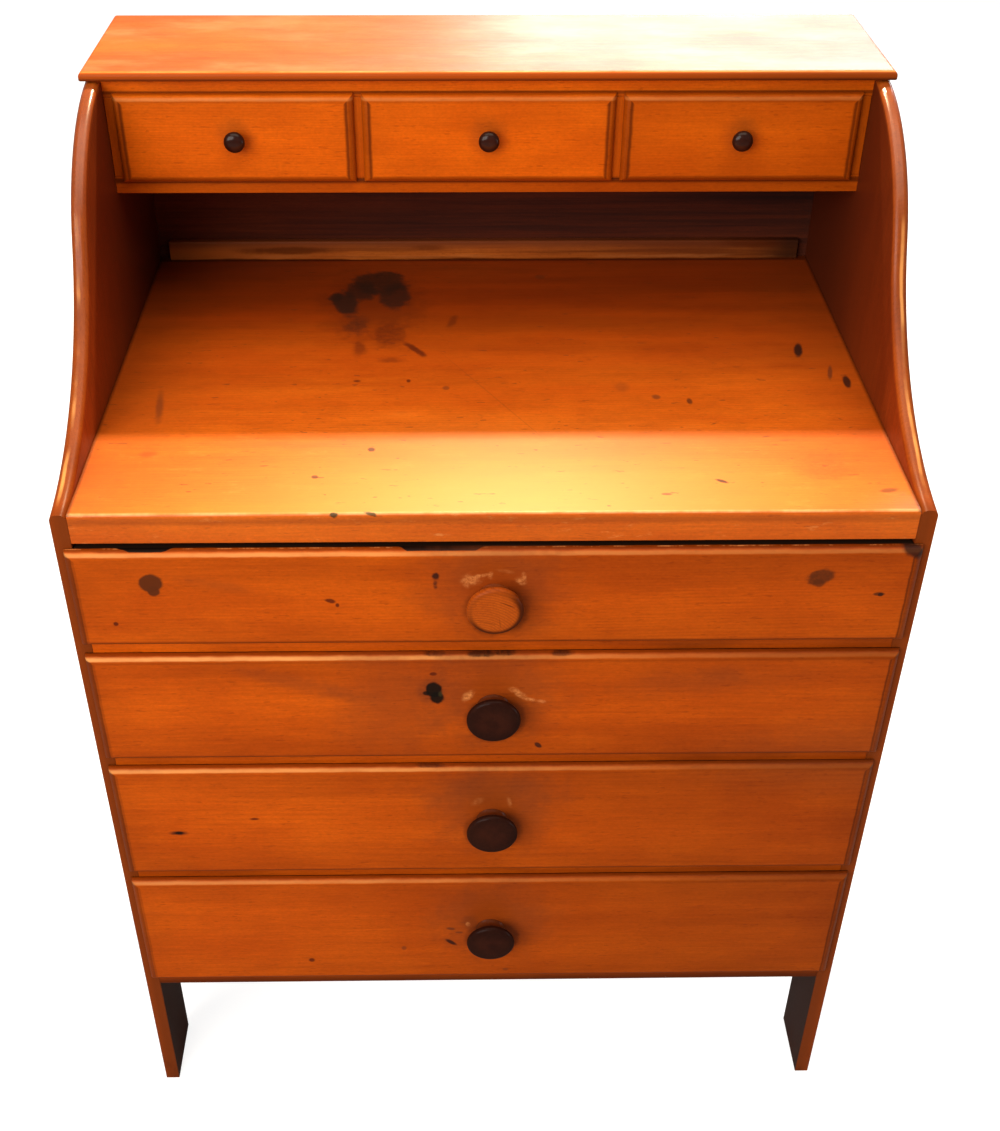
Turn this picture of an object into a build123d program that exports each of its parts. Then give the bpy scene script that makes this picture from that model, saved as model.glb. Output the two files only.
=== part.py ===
from build123d import *
from dataclasses import dataclass
from math import atan2, cos, degrees, hypot, radians, sin
import os

# Shaker sewing desk: a case of four graduated drawers under a fixed worktop, with a raised gallery of
# three small drawers set back between two ogee-cut sides. All boards are solid pine.
# Millimetres. +Z is up, +Y runs to the back, +X to the right of someone sitting at the desk.
# The origin is on the floor, in the middle of the desk's overall width and depth.

# ---- Case ----
CASE_WIDTH = 711.0  # outside faces of the two sides
CASE_DEPTH = 490.0  # front edges of the sides to the outside of the back
SIDE_THICKNESS = 14.0
HOUSING_DEPTH = 6.0  # how far shelves and rails are let into the sides
HOUSING_STOP = 12.0  # how far behind the front edge a housing stops, so that it doesn't show
FLOOR_CLEARANCE = 166.0  # floor to the underside of the case bottom
BOTTOM_THICKNESS = 20.0
DRAWER_OPENINGS = (140.0, 129.0, 111.0, 97.0)  # clear heights, from the lowest drawer up
RAIL_THICKNESS = 22.0
RAIL_DEPTH = 60.0
RUNNER_WIDTH = 24.0
WORKTOP_THICKNESS = 28.0
WORKTOP_SHOULDER = 6.0  # step above and below the tongue on each end of the worktop
WORKTOP_ARRIS = 2.5

# ---- Sides: ogee, feet ----
OGEE_RUN = 330.0  # from the front edge of the side back to the face of the gallery
OGEE_SLOPE = 8.0  # degrees above level, at both ends of the curve
OGEE_TURN_POINT = 0.6  # share of the chord where hollow turns to round
OGEE_ROUNDING = 5.5  # radius worked along both arrises of the curve
OGEE_RUN_OUT = 40.0  # how far the rounding is worked past the front of the board
FOOT_LENGTH = 69.0
ARCH_SPRING = 95.0  # floor to where the bootjack arch leaves the straight cut
ARCH_CROWN = 150.0

# ---- Gallery ----
RECESS_HEIGHT = 132.0  # worktop to the underside of the gallery
GALLERY_FLOOR = 16.0
GALLERY_OPENING = 73.0
GALLERY_CENTRE_WIDTH = 219.0  # opening of the middle drawer
GALLERY_END = 12.0
GALLERY_DIVIDER = 15.0
DIVIDER_HOUSING = 3.0
GALLERY_RAIL = 17.0
GALLERY_RAIL_DEPTH = 45.0
TOP_THICKNESS = 8.0
TOP_FRONT_OVERHANG = 10.0  # past the face of the gallery
TOP_END_OVERHANG = 3.0
TOP_NOSING = 4.0
TOP_LOWER_ARRIS = 1.5

# ---- Back ----
BACK_THICKNESS = 12.0
BACK_REBATE = 7.0  # how far the back boards reach over the sides
LOWER_BACK_BOARDS = 3  # below the worktop
BACK_LAP = 10.0
BACK_GAP = 1.0  # open joint left for the boards to swell into
LEDGE_THICKNESS = 8.0
LEDGE_HEIGHT = 21.0
LEDGE_END_GAP = 11.0  # the ledge stops this far from each side
LEDGE_ARRIS = 2.0

# ---- Drawers ----
SIDE_OVERLAP = 7.0  # lip over the front edge of each side
RAIL_OVERLAP = 5.0  # lip over the rail above and below
GALLERY_OVERLAP = 4.0
DRAWER_SIDE_GAP = 1.0
DRAWER_TOP_GAP = 2.0
WORKTOP_GAP = 4.0  # worktop to the top drawer, which has no rail above it
DRAWER_REAR_GAP = 20.0
SMALL_REAR_GAP = 8.0
KNOB_RISE = 2.0  # knobs stand this far above the middle of the drawer face
DOVETAIL_SLOPE = 1 / 7
TAIL_PITCH = 31.0  # the nearest whole number of tails is cut
PIN_TIP = 5.0  # narrow end of a pin
TENON_FIT = 0.05  # radial clearance of a knob's tenon


@dataclass
class DrawerMake:
    """The board sizes of one kind of drawer."""

    lip: float  # thickness of the moulded lip, all of it in front of the case
    lip_round: float  # radius of the moulding on the lip
    body: float  # front board behind the lip
    socket: float  # depth of the half-blind dovetails into the front
    side: float
    back: float
    back_drop: float  # how far the back stops below the sides
    groove: float  # depth of the groove for the bottom
    groove_height: float  # lower edge of a side to its groove
    tongue: float  # edge thickness of the bottom
    field: float  # extra thickness of the bottom inside its bevelled edges
    bevel: float  # width of those bevels


@dataclass
class KnobMake:
    """A turned knob. Heights are measured out from the drawer face."""

    tenon_radius: float
    collar_radius: float  # foot of the knob, on the drawer face
    neck_radius: float
    neck_height: float
    swell_radius: float  # where the neck starts to spread into the head
    swell_height: float
    head_radius: float
    head_height: float  # height of the widest turn
    rim_radius: float  # where the rounded rim bends over to the face
    rim_height: float
    face_radius: float  # flat middle of the face
    length: float


LARGE_DRAWER = DrawerMake(
    lip=8.0, lip_round=7.0, body=12.0, socket=8.0, side=12.0, back=12.0, back_drop=6.0,
    groove=5.0, groove_height=8.0, tongue=5.0, field=3.0, bevel=22.0,
)
SMALL_DRAWER = DrawerMake(
    lip=7.0, lip_round=6.0, body=10.0, socket=7.0, side=9.0, back=9.0, back_drop=4.0,
    groove=4.0, groove_height=5.0, tongue=3.5, field=1.5, bevel=14.0,
)
LARGE_KNOB = KnobMake(
    tenon_radius=8.0, collar_radius=14.5, neck_radius=12.5, neck_height=4.0, swell_radius=16.5,
    swell_height=11.5, head_radius=23.5, head_height=15.5, rim_radius=22.5, rim_height=20.0,
    face_radius=19.0, length=22.0,
)
SMALL_KNOB = KnobMake(
    tenon_radius=3.2, collar_radius=5.6, neck_radius=4.5, neck_height=2.0, swell_radius=6.0,
    swell_height=6.0, head_radius=9.4, head_height=9.5, rim_radius=8.0, rim_height=13.5,
    face_radius=4.5, length=16.0,
)

# ---- Places that follow from the sizes above ----
CASE_FRONT = (LARGE_DRAWER.lip + LARGE_KNOB.length - CASE_DEPTH) / 2
CASE_BACK = CASE_FRONT + CASE_DEPTH
BACK_FACE = CASE_BACK - BACK_THICKNESS
INNER_X = CASE_WIDTH / 2 - SIDE_THICKNESS
CASE_BOTTOM_TOP = FLOOR_CLEARANCE + BOTTOM_THICKNESS
STACK_HEIGHT = sum(DRAWER_OPENINGS) + RAIL_THICKNESS * (len(DRAWER_OPENINGS) - 1)
WORKTOP_UNDERSIDE = CASE_BOTTOM_TOP + STACK_HEIGHT
WORKTOP_SURFACE = WORKTOP_UNDERSIDE + WORKTOP_THICKNESS
GALLERY_UNDERSIDE = WORKTOP_SURFACE + RECESS_HEIGHT
GALLERY_FLOOR_TOP = GALLERY_UNDERSIDE + GALLERY_FLOOR
GALLERY_RAIL_UNDERSIDE = GALLERY_FLOOR_TOP + GALLERY_OPENING
SIDE_HEIGHT = GALLERY_RAIL_UNDERSIDE + GALLERY_RAIL
GALLERY_FRONT = CASE_FRONT + OGEE_RUN


def board(x, y, z):
    """A square-edged board. Each argument is a (low, high) pair."""
    size = [high - low for low, high in (x, y, z)]
    middle = [(high + low) / 2 for low, high in (x, y, z)]
    return Pos(*middle) * Box(*size)


def mirrored(low, high, hand):
    """The (low, high) pair of an X range given on the right, or of its twin on the left."""
    return (low, high) if hand > 0 else (-high, -low)


# ---- Case boards ----


def case_shelf(height, depth):
    """A board that spans the case and is let into both sides."""
    reach = INNER_X + HOUSING_DEPTH
    return board((-reach, reach), depth, height)


def front_shelf(height, depth):
    """A shelf at the front of the case, where only the sides' own edges show beside it."""
    span = board((-INNER_X, INNER_X), depth, height)
    return span + case_shelf(height, (depth[0] + HOUSING_STOP, depth[1]))


def case_bottom():
    return front_shelf((FLOOR_CLEARANCE, CASE_BOTTOM_TOP), (CASE_FRONT, BACK_FACE))


def opening_heights():
    """The (low, high) heights of the drawer openings, from the lowest up."""
    low = CASE_BOTTOM_TOP
    heights = []
    for height in DRAWER_OPENINGS:
        heights.append((low, low + height))
        low += height + RAIL_THICKNESS
    return heights


def rail_heights():
    """The (low, high) heights of the rails between the drawers, from the lowest up."""
    return [(high, high + RAIL_THICKNESS) for _, high in opening_heights()[:-1]]


def drawer_rail(height):
    return front_shelf(height, (CASE_FRONT, CASE_FRONT + RAIL_DEPTH))


def drawer_runners():
    """One strip on each side behind every rail, for the drawer above to slide on."""
    depth = (CASE_FRONT + RAIL_DEPTH, BACK_FACE)
    strips = []
    for height in rail_heights():
        for hand in (-1, 1):
            strips.append(board(mirrored(INNER_X - RUNNER_WIDTH, INNER_X, hand), depth, height))
    return Compound(children=strips)


def worktop():
    """The writing-height board, with a tongue on each end and a softened front arris."""
    depth = (CASE_FRONT, BACK_FACE)
    top = board((-INNER_X, INNER_X), depth, (WORKTOP_UNDERSIDE, WORKTOP_SURFACE))
    front_edges = top.edges().filter_by(Axis.X).group_by(Axis.Y)[0]
    top = fillet(front_edges.sort_by(Axis.Z)[-1], WORKTOP_ARRIS)
    tongue_z = (WORKTOP_UNDERSIDE + WORKTOP_SHOULDER, WORKTOP_SURFACE - WORKTOP_SHOULDER)
    return top + case_shelf(tongue_z, (CASE_FRONT + HOUSING_STOP, BACK_FACE))


def back_ledge():
    """The upstand at the back of the worktop, which covers its joint with the back boards."""
    height = (WORKTOP_SURFACE, WORKTOP_SURFACE + LEDGE_HEIGHT)
    reach = INNER_X - LEDGE_END_GAP
    strip = board((-reach, reach), (BACK_FACE - LEDGE_THICKNESS, BACK_FACE), height)
    arris = strip.edges().filter_by(Axis.X).group_by(Axis.Y)[0].sort_by(Axis.Z)[-1]
    return fillet(arris, LEDGE_ARRIS)


def back_joints():
    """Heights of the lower edge, the joints and the upper edge of the back boards."""
    behind_worktop = (WORKTOP_UNDERSIDE + WORKTOP_SURFACE) / 2
    behind_gallery_floor = (GALLERY_UNDERSIDE + GALLERY_FLOOR_TOP) / 2
    lower_board = (behind_worktop - ARCH_CROWN) / LOWER_BACK_BOARDS
    lower = [ARCH_CROWN + index * lower_board for index in range(LOWER_BACK_BOARDS)]
    return lower + [behind_worktop, behind_gallery_floor, SIDE_HEIGHT]


def back_boards():
    """Level boards, half lapped into each other, in the rebates of the sides."""
    reach = INNER_X + BACK_REBATE
    lap_y = BACK_FACE + BACK_THICKNESS / 2
    joints = back_joints()
    boards = []
    for low, high in zip(joints, joints[1:]):
        low_lap, high_lap = (BACK_LAP / 2 if edge in joints[1:-1] else 0 for edge in (low, high))
        low_gap, high_gap = (BACK_GAP / 2 if edge in joints[1:-1] else 0 for edge in (low, high))
        outer_height = (low - low_lap + low_gap, high - high_lap - high_gap)
        inner_height = (low + low_lap + low_gap, high + high_lap - high_gap)
        outer = board((-reach, reach), (lap_y, CASE_BACK), outer_height)
        inner = board((-reach, reach), (BACK_FACE, lap_y), inner_height)
        boards.append((outer + inner).solid())
    return Compound(children=boards)


def back_rebates():
    """The space that the back boards take up, for cutting the sides."""
    reach = INNER_X + BACK_REBATE
    return board((-reach, reach), (BACK_FACE, CASE_BACK), (ARCH_CROWN, SIDE_HEIGHT))


# ---- Sides ----


def side_blank(x_low):
    """A side with its ogee cut: two arcs that run into each other without a corner."""
    rise = SIDE_HEIGHT - WORKTOP_SURFACE
    chord_angle = degrees(atan2(rise, OGEE_RUN))
    turn = 2 * (chord_angle - OGEE_SLOPE)
    hollow_chord = hypot(OGEE_RUN, rise) * OGEE_TURN_POINT
    round_chord = hypot(OGEE_RUN, rise) - hollow_chord
    radius_share = 2 * sin(radians(turn / 2))
    slope = Vector(cos(radians(OGEE_SLOPE)), sin(radians(OGEE_SLOPE)))
    start = Vector(CASE_FRONT, WORKTOP_SURFACE)
    # The curve is worked past both its ends and rounded, and only then is the board cut to size.
    with BuildPart() as blank:
        with BuildSketch(Plane.YZ.offset(x_low)):
            with BuildLine():
                entry = Line(start - slope * OGEE_RUN_OUT, start)
                hollow = JernArc(start, slope, hollow_chord / radius_share, turn)
                crown = JernArc(hollow @ 1, hollow % 1, round_chord / radius_share, -turn)
                leave = Line(crown @ 1, crown @ 1 + slope * CASE_DEPTH)
                Polyline(leave @ 1, ((leave @ 1).X, 0), ((entry @ 0).X, 0), entry @ 0)
            make_face()
        extrude(amount=SIDE_THICKNESS)
    rounded = fillet(blank.part.edges().filter_by(GeomType.CIRCLE), OGEE_ROUNDING)
    return rounded & board((x_low, x_low + SIDE_THICKNESS), (CASE_FRONT, CASE_BACK), (0, SIDE_HEIGHT))


def bootjack():
    """The arched space between the front and back foot, through the whole desk."""
    foot_front = CASE_FRONT + FOOT_LENGTH
    foot_back = CASE_BACK - FOOT_LENGTH
    with BuildPart() as space:
        with BuildSketch(Plane.YZ):
            with BuildLine():
                Polyline(
                    (foot_back, ARCH_SPRING), (foot_back, 0), (foot_front, 0), (foot_front, ARCH_SPRING)
                )
                crown = ((foot_front + foot_back) / 2, ARCH_CROWN)
                ThreePointArc((foot_front, ARCH_SPRING), crown, (foot_back, ARCH_SPRING))
            make_face()
        extrude(amount=CASE_WIDTH, both=True)
    return space.part


def side(hand, housed):
    """hand is -1 for the left side and 1 for the right. housed holds every board let into it."""
    x_low, _ = mirrored(INNER_X, INNER_X + SIDE_THICKNESS, hand)
    panel = side_blank(x_low) - bootjack() - back_rebates()
    for piece in housed:
        panel = panel - piece
    return panel


# ---- Gallery ----


def gallery_dividers_x():
    """The (low, high) X range of the divider on the right of the middle drawer."""
    inner = GALLERY_CENTRE_WIDTH / 2
    return inner, inner + GALLERY_DIVIDER


def gallery_upright(x_range, foot):
    """A full-depth upright of the gallery, notched round the gallery rail."""
    z_range = (GALLERY_FLOOR_TOP - foot, SIDE_HEIGHT)
    return board(x_range, (GALLERY_FRONT, BACK_FACE), z_range) - gallery_rail()


def gallery_rail():
    depth = (GALLERY_FRONT, GALLERY_FRONT + GALLERY_RAIL_DEPTH)
    return case_shelf((GALLERY_RAIL_UNDERSIDE, SIDE_HEIGHT), depth)


def gallery_divider(hand):
    low, high = gallery_dividers_x()
    return gallery_upright(mirrored(low, high, hand), DIVIDER_HOUSING)


def gallery_end(hand):
    return gallery_upright(mirrored(INNER_X - GALLERY_END, INNER_X, hand), 0)


def gallery_floor():
    """The board under the small drawers, grooved for the feet of both dividers."""
    height = (GALLERY_UNDERSIDE, GALLERY_FLOOR_TOP)
    floor = case_shelf(height, (GALLERY_FRONT, BACK_FACE))
    for hand in (-1, 1):
        floor = floor - gallery_divider(hand)
    return floor


def top_board():
    """The gallery's top, standing past the sides, with a rounded nosing at the front and ends."""
    reach = CASE_WIDTH / 2 + TOP_END_OVERHANG
    front = GALLERY_FRONT - TOP_FRONT_OVERHANG
    slab = board((-reach, reach), (front, CASE_BACK), (SIDE_HEIGHT, SIDE_HEIGHT + TOP_THICKNESS))
    for end, radius in ((-1, TOP_NOSING), (0, TOP_LOWER_ARRIS)):
        level = slab.faces().sort_by(Axis.Z)[end].edges()
        across = level.filter_by(Axis.X).sort_by(Axis.Y)[0]
        slab = fillet([across] + list(level.filter_by(Axis.Y)), radius)
    return slab


# ---- Knobs ----


def knob(make, tenon_length, x, face_y, z):
    """A turned knob whose collar sits on the drawer face, with its tenon through the front."""
    outward = Plane(origin=(x, face_y, z), x_dir=(1, 0, 0), z_dir=(0, 0, -1))
    with BuildPart() as turned:
        with BuildSketch(outward):
            with BuildLine():
                Polyline(
                    (0, -tenon_length),
                    (make.tenon_radius, -tenon_length),
                    (make.tenon_radius, 0),
                    (make.collar_radius, 0),
                    (make.neck_radius, make.neck_height),
                    (make.swell_radius, make.swell_height),
                    (make.head_radius, make.head_height),
                    (make.rim_radius, make.rim_height),
                    (make.face_radius, make.length),
                    (0, make.length),
                    close=True,
                )
            make_face()
        revolve(axis=Axis((x, face_y, z), (0, 1, 0)))
    return turned.part


# ---- Drawers ----


def pins(x, z, y_end, y_shoulder):
    """The pins between the tails of one corner, tapering from the shoulder to the end of the side."""
    z_low, z_high = z
    tails = max(1, round((z_high - z_low) / TAIL_PITCH))
    pitch = (z_high - z_low) / tails
    half_tip = PIN_TIP / 2
    half_root = half_tip + abs(y_shoulder - y_end) * DOVETAIL_SLOPE
    with BuildPart() as row:
        with BuildSketch(Plane.YZ.offset(x[0])):
            for index in range(tails + 1):
                middle = z_low + index * pitch
                with BuildLine():
                    Polyline(
                        (y_end, middle - half_tip), (y_shoulder, middle - half_root),
                        (y_shoulder, middle + half_root), (y_end, middle + half_tip),
                        close=True,
                    )
                make_face()
        extrude(amount=x[1] - x[0])
    return row.part


def bottom_panel(make, x, y, groove_z):
    """A drawer bottom: a thin tongue all round and a thicker field, bevelled but at its rear."""
    panel = board(x, y, (groove_z, groove_z + make.tongue))
    inset = make.groove
    wide = (x[1] - x[0] - 2 * inset, y[1] - y[0] - inset)
    narrow = (wide[0] - 2 * make.bevel, wide[1] - make.bevel)
    middle_x = (x[0] + x[1]) / 2
    upper = Plane((middle_x, y[1] - wide[1] / 2, groove_z)) * Rectangle(*wide)
    lower = Plane((middle_x, y[1] - narrow[1] / 2, groove_z - make.field)) * Rectangle(*narrow)
    return panel + loft([upper.face(), lower.face()], ruled=True)


def lipped_front(make, body_x, body_z, lip_x, lip_z, face_y):
    """The front: a moulded lip that stops against the case, and the body that fills the opening."""
    lip = board(lip_x, (face_y - make.lip, face_y), lip_z)
    lip = fillet(lip.faces().sort_by(Axis.Y)[0].edges(), make.lip_round)
    return lip + board(body_x, (face_y, face_y + make.body), body_z)


def drawer(name, make, knob_make, opening_x, opening_z, lip_x, lip_z, face_y, rear_y):
    """Every board of one drawer, in a dictionary of node names."""
    body_x = (opening_x[0] + DRAWER_SIDE_GAP, opening_x[1] - DRAWER_SIDE_GAP)
    body_z = (opening_z[0], min(opening_z[1] - DRAWER_TOP_GAP, lip_z[1]))
    body_rear = face_y + make.body
    groove_z = body_z[0] + make.groove_height
    front = lipped_front(make, body_x, body_z, lip_x, lip_z, face_y)
    back_z = (groove_z + make.tongue, body_z[1] - make.back_drop)
    back = board(body_x, (rear_y - make.back, rear_y), back_z)
    bottom_x = (body_x[0] + make.side - make.groove, body_x[1] - make.side + make.groove)
    bottom = bottom_panel(make, bottom_x, (body_rear - make.groove, rear_y), groove_z)

    front_end = body_rear - make.socket
    front_pins = pins(body_x, body_z, front_end, body_rear)
    back_pins = pins(body_x, back_z, rear_y, rear_y - make.back) & back
    sides = {}
    for word, side_x in (
        ("left", (body_x[0], body_x[0] + make.side)),
        ("right", (body_x[1] - make.side, body_x[1])),
    ):
        tailed = board(side_x, (front_end, rear_y), body_z) - front_pins - back_pins
        front = front - tailed
        back = back - tailed
        sides[word] = tailed - bottom

    knob_x = (lip_x[0] + lip_x[1]) / 2
    knob_z = (lip_z[0] + lip_z[1]) / 2 + KNOB_RISE
    front_thickness = make.lip + make.body
    lip_face = face_y - make.lip
    hole_radius = knob_make.tenon_radius + TENON_FIT
    hole = Pos(knob_x, lip_face + front_thickness / 2, knob_z) * Rot(X=90) * Cylinder(
        hole_radius, front_thickness
    )
    return {
        f"{name}_front": front - bottom - hole,
        f"{name}_left_side": sides["left"],
        f"{name}_right_side": sides["right"],
        f"{name}_back": back,
        f"{name}_bottom": bottom,
        f"{name}_knob": knob(knob_make, front_thickness, knob_x, lip_face, knob_z),
    }


def large_drawers():
    """The four case drawers, drawer_1 at the top. Its lip has no rail above it to cover."""
    nodes = {}
    opening_x = (-INNER_X, INNER_X)
    lip_x = (opening_x[0] - SIDE_OVERLAP, opening_x[1] + SIDE_OVERLAP)
    from_top = list(reversed(opening_heights()))
    for number, opening_z in enumerate(from_top, start=1):
        top_lip = RAIL_OVERLAP if number > 1 else -WORKTOP_GAP
        lip_z = (opening_z[0] - RAIL_OVERLAP, opening_z[1] + top_lip)
        rear_y = BACK_FACE - DRAWER_REAR_GAP
        nodes.update(
            drawer(
                f"drawer_{number}", LARGE_DRAWER, LARGE_KNOB,
                opening_x, opening_z, lip_x, lip_z, CASE_FRONT, rear_y,
            )
        )
    return nodes


def small_drawers():
    """The three gallery drawers, between the end uprights and the dividers."""
    nodes = {}
    divider_low, divider_high = gallery_dividers_x()
    outer = INNER_X - GALLERY_END
    opening_z = (GALLERY_FLOOR_TOP, GALLERY_RAIL_UNDERSIDE)
    lip_z = (opening_z[0] - GALLERY_OVERLAP, opening_z[1] + GALLERY_OVERLAP)
    openings = {
        "left": (-outer, -divider_high),
        "centre": (-divider_low, divider_low),
        "right": (divider_high, outer),
    }
    for word, opening_x in openings.items():
        lip_x = (opening_x[0] - GALLERY_OVERLAP, opening_x[1] + GALLERY_OVERLAP)
        rear_y = BACK_FACE - SMALL_REAR_GAP
        nodes.update(
            drawer(
                f"gallery_drawer_{word}", SMALL_DRAWER, SMALL_KNOB,
                opening_x, opening_z, lip_x, lip_z, GALLERY_FRONT, rear_y,
            )
        )
    return nodes


# ---- The whole desk ----


def case_nodes():
    nodes = {"case_bottom": case_bottom()}
    for number, height in enumerate(reversed(rail_heights()), start=1):
        nodes[f"drawer_rail_{number}"] = drawer_rail(height)
    nodes["worktop"] = worktop()
    nodes["gallery_floor"] = gallery_floor()
    nodes["gallery_top_rail"] = gallery_rail()
    housed = list(nodes.values())
    nodes["left_side"] = side(-1, housed)
    nodes["right_side"] = side(1, housed)
    nodes["drawer_runners"] = drawer_runners()
    nodes["back_boards"] = back_boards()
    nodes["back_ledge"] = back_ledge()
    nodes["gallery_end_left"] = gallery_end(-1)
    nodes["gallery_end_right"] = gallery_end(1)
    nodes["gallery_divider_left"] = gallery_divider(-1)
    nodes["gallery_divider_right"] = gallery_divider(1)
    nodes["top_board"] = top_board()
    return nodes


def main():
    os.makedirs("parts", exist_ok=True)
    nodes = {**case_nodes(), **large_drawers(), **small_drawers()}
    for name, shape in nodes.items():
        export_step(shape, f"parts/{name}.step")
    print(len(nodes), "nodes")


main()
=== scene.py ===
"""The looks of the sewing desk: aged pine, wear and stains, turned knobs, light, floor and camera."""

import math
from dataclasses import dataclass, replace
from functools import reduce
from operator import mul

import bmesh
import bpy
from mathutils import Matrix, Vector


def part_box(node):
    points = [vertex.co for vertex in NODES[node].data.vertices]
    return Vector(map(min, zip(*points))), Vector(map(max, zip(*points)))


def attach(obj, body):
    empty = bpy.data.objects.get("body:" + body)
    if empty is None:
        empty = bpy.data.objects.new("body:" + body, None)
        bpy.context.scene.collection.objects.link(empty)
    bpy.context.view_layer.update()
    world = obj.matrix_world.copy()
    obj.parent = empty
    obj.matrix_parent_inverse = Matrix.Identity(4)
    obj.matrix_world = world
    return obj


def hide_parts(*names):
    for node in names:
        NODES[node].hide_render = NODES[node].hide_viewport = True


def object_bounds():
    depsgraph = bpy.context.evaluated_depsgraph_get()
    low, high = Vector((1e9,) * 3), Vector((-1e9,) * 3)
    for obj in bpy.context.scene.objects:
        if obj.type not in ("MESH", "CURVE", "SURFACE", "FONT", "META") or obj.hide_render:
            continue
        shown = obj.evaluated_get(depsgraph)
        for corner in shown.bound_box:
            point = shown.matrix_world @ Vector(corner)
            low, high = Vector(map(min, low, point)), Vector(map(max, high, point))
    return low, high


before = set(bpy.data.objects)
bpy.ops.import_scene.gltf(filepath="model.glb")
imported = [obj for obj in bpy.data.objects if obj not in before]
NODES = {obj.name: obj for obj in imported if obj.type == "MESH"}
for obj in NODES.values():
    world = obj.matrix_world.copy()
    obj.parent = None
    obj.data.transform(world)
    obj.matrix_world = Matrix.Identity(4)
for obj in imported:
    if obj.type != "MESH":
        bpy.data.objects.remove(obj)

MM = 0.001
CAD_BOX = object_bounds()
LARGE_DRAWERS = ["drawer_1", "drawer_2", "drawer_3", "drawer_4"]
SMALL_DRAWERS = ["gallery_drawer_left", "gallery_drawer_centre", "gallery_drawer_right"]

# ---- Places that come from the frame ----
WORKTOP_LOW, WORKTOP_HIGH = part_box("worktop")
TOP_LOW, TOP_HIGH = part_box("top_board")
SIDE_LOW, SIDE_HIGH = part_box("right_side")
SIDE_MIDDLE = (SIDE_LOW.x + SIDE_HIGH.x) / 2
BACK_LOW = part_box("back_boards")[0]
GALLERY_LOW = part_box("gallery_floor")[0]
CASE_FRONT = SIDE_LOW.y
CASE_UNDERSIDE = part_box("case_bottom")[0].z

# ---- Sizes of the surfaces ----
ARRIS = 0.7 * MM  # how far a board's corners are eased
FINE_ARRIS = 0.4 * MM
WELD_DISTANCE = 0.01 * MM
FLAT_ANGLE = math.radians(0.5)  # faces that meet at less become one
SHARP_ANGLE = math.radians(32)  # edges that turn more are eased
RELIEF_DEPTH = 0.3 * MM
RING_WIDTH = 2.4 * MM
RING_SWAY = 16 * MM  # slow bend of the growth rings along a board
RING_WOBBLE = 2.2 * MM
# The painted shade of the joint over the top drawer reaches deeper where it is chipped
CHIP_DEPTH = 4.4 * MM  # how much wider the joint over the top drawer is where it is chipped
ARCS_PER_METRE = 420.0  # in the crown of the natural knob
TENON_SHARE = 0.34  # of the radius of a knob's head
ON_AXIS = 1e-6  # a smaller radius is a point on the axis

# ---- Colours, linear red, green and blue ----
# Dirt, and also painted shade in joints, gaps and mouldings, under overhangs and toward the right
GRIME_AND_SHADE = (0.085, 0.013, 0.001)
BLACK_STAIN = (0.02, 0.008, 0.006)
BROWN_STAIN = (0.16, 0.035, 0.01)
BLOTCH_BROWN = (0.11, 0.023, 0.005)
# Painted shade: the black of the open joint over a drawer's lip
GAP_SHADE_BLACK = (0.006, 0.003, 0.002)
INK = (0.008, 0.005, 0.003)
INK_GLINT = (0.06, 0.045, 0.015)
STAIN_CORE = (0.035, 0.014, 0.008)
STAIN_RED = (0.14, 0.019, 0.003)
SPECK_RED = (0.12, 0.015, 0.003)
SPECK_OLIVE = (0.035, 0.03, 0.006)
SHELLAC_RED = (0.5, 0.07, 0.004)
# Rubbed wear, and also painted highlights on the arrises and the ogee edge
WORN_GOLD_AND_HIGHLIGHT = (0.95, 0.4, 0.11)
WORN_PALE = (0.88, 0.31, 0.085)
# Painted shade in the joints behind a drawer's face
JOINT_GAP_SHADE = (0.02, 0.008, 0.004)
IRON = (0.03, 0.02, 0.017)
# Painted shade: the worktop darker and redder to the back, behind the gallery's shadow edge, and at its ends
WORKTOP_REAR_SHADE = (0.36, 0.038, 0.0012)
WORKTOP_REAR_SHADE_STREAK = (0.24, 0.024, 0.001)
WORKTOP_END_SHADE = (0.3, 0.05, 0.004)
# Painted highlight: the bright glow over the front of the worktop, and pale mottle in its lit front
WORKTOP_HIGHLIGHT_GOLD = (0.92, 0.35, 0.04)
WORKTOP_LIT_PALE = (0.95, 0.32, 0.05)
# Rubbed wear and painted highlight along the worktop's front arris
WORKTOP_ARRIS_WEAR_AND_HIGHLIGHT = (0.95, 0.5, 0.2)
WORKTOP_EDGE = (0.84, 0.82, 0.6)  # what the front edge keeps of the finish's colour
# Painted shade toward the back of the recess
SIDE_REAR_SHADE = (0.085, 0.014, 0.004)
SIDE_FRONT = (0.19, 0.034, 0.004)
# Painted shade on the feet's inner faces, under the case
FOOT_SHADE = (0.028, 0.014, 0.01)
# Painted shade on the back wall of the recess
WALL_SHADE = (0.02, 0.006, 0.004)
WALL_CORNER_SHADE = (0.004, 0.0015, 0.003)
# Painted light and painted shade on the back ledge
LEDGE_LEFT_LIGHT = (0.62, 0.14, 0.02)
LEDGE_TOP_SHADE = (0.21, 0.05, 0.015)
LEDGE_RIGHT_SHADE = (0.1, 0.02, 0.006)
LEDGE_END_SHADE = (0.03, 0.009, 0.004)
TOP_PALE = (0.86, 0.33, 0.12)
TOP_NOSING = (0.62, 0.1, 0.003)
KNOB_RUBBED = (0.07, 0.015, 0.007)
KNOB_NECK = (0.12, 0.022, 0.004)
KNOB_LATEWOOD = (0.24, 0.035, 0.004)


# ---- Short calls that build a material's nodes ----


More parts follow.
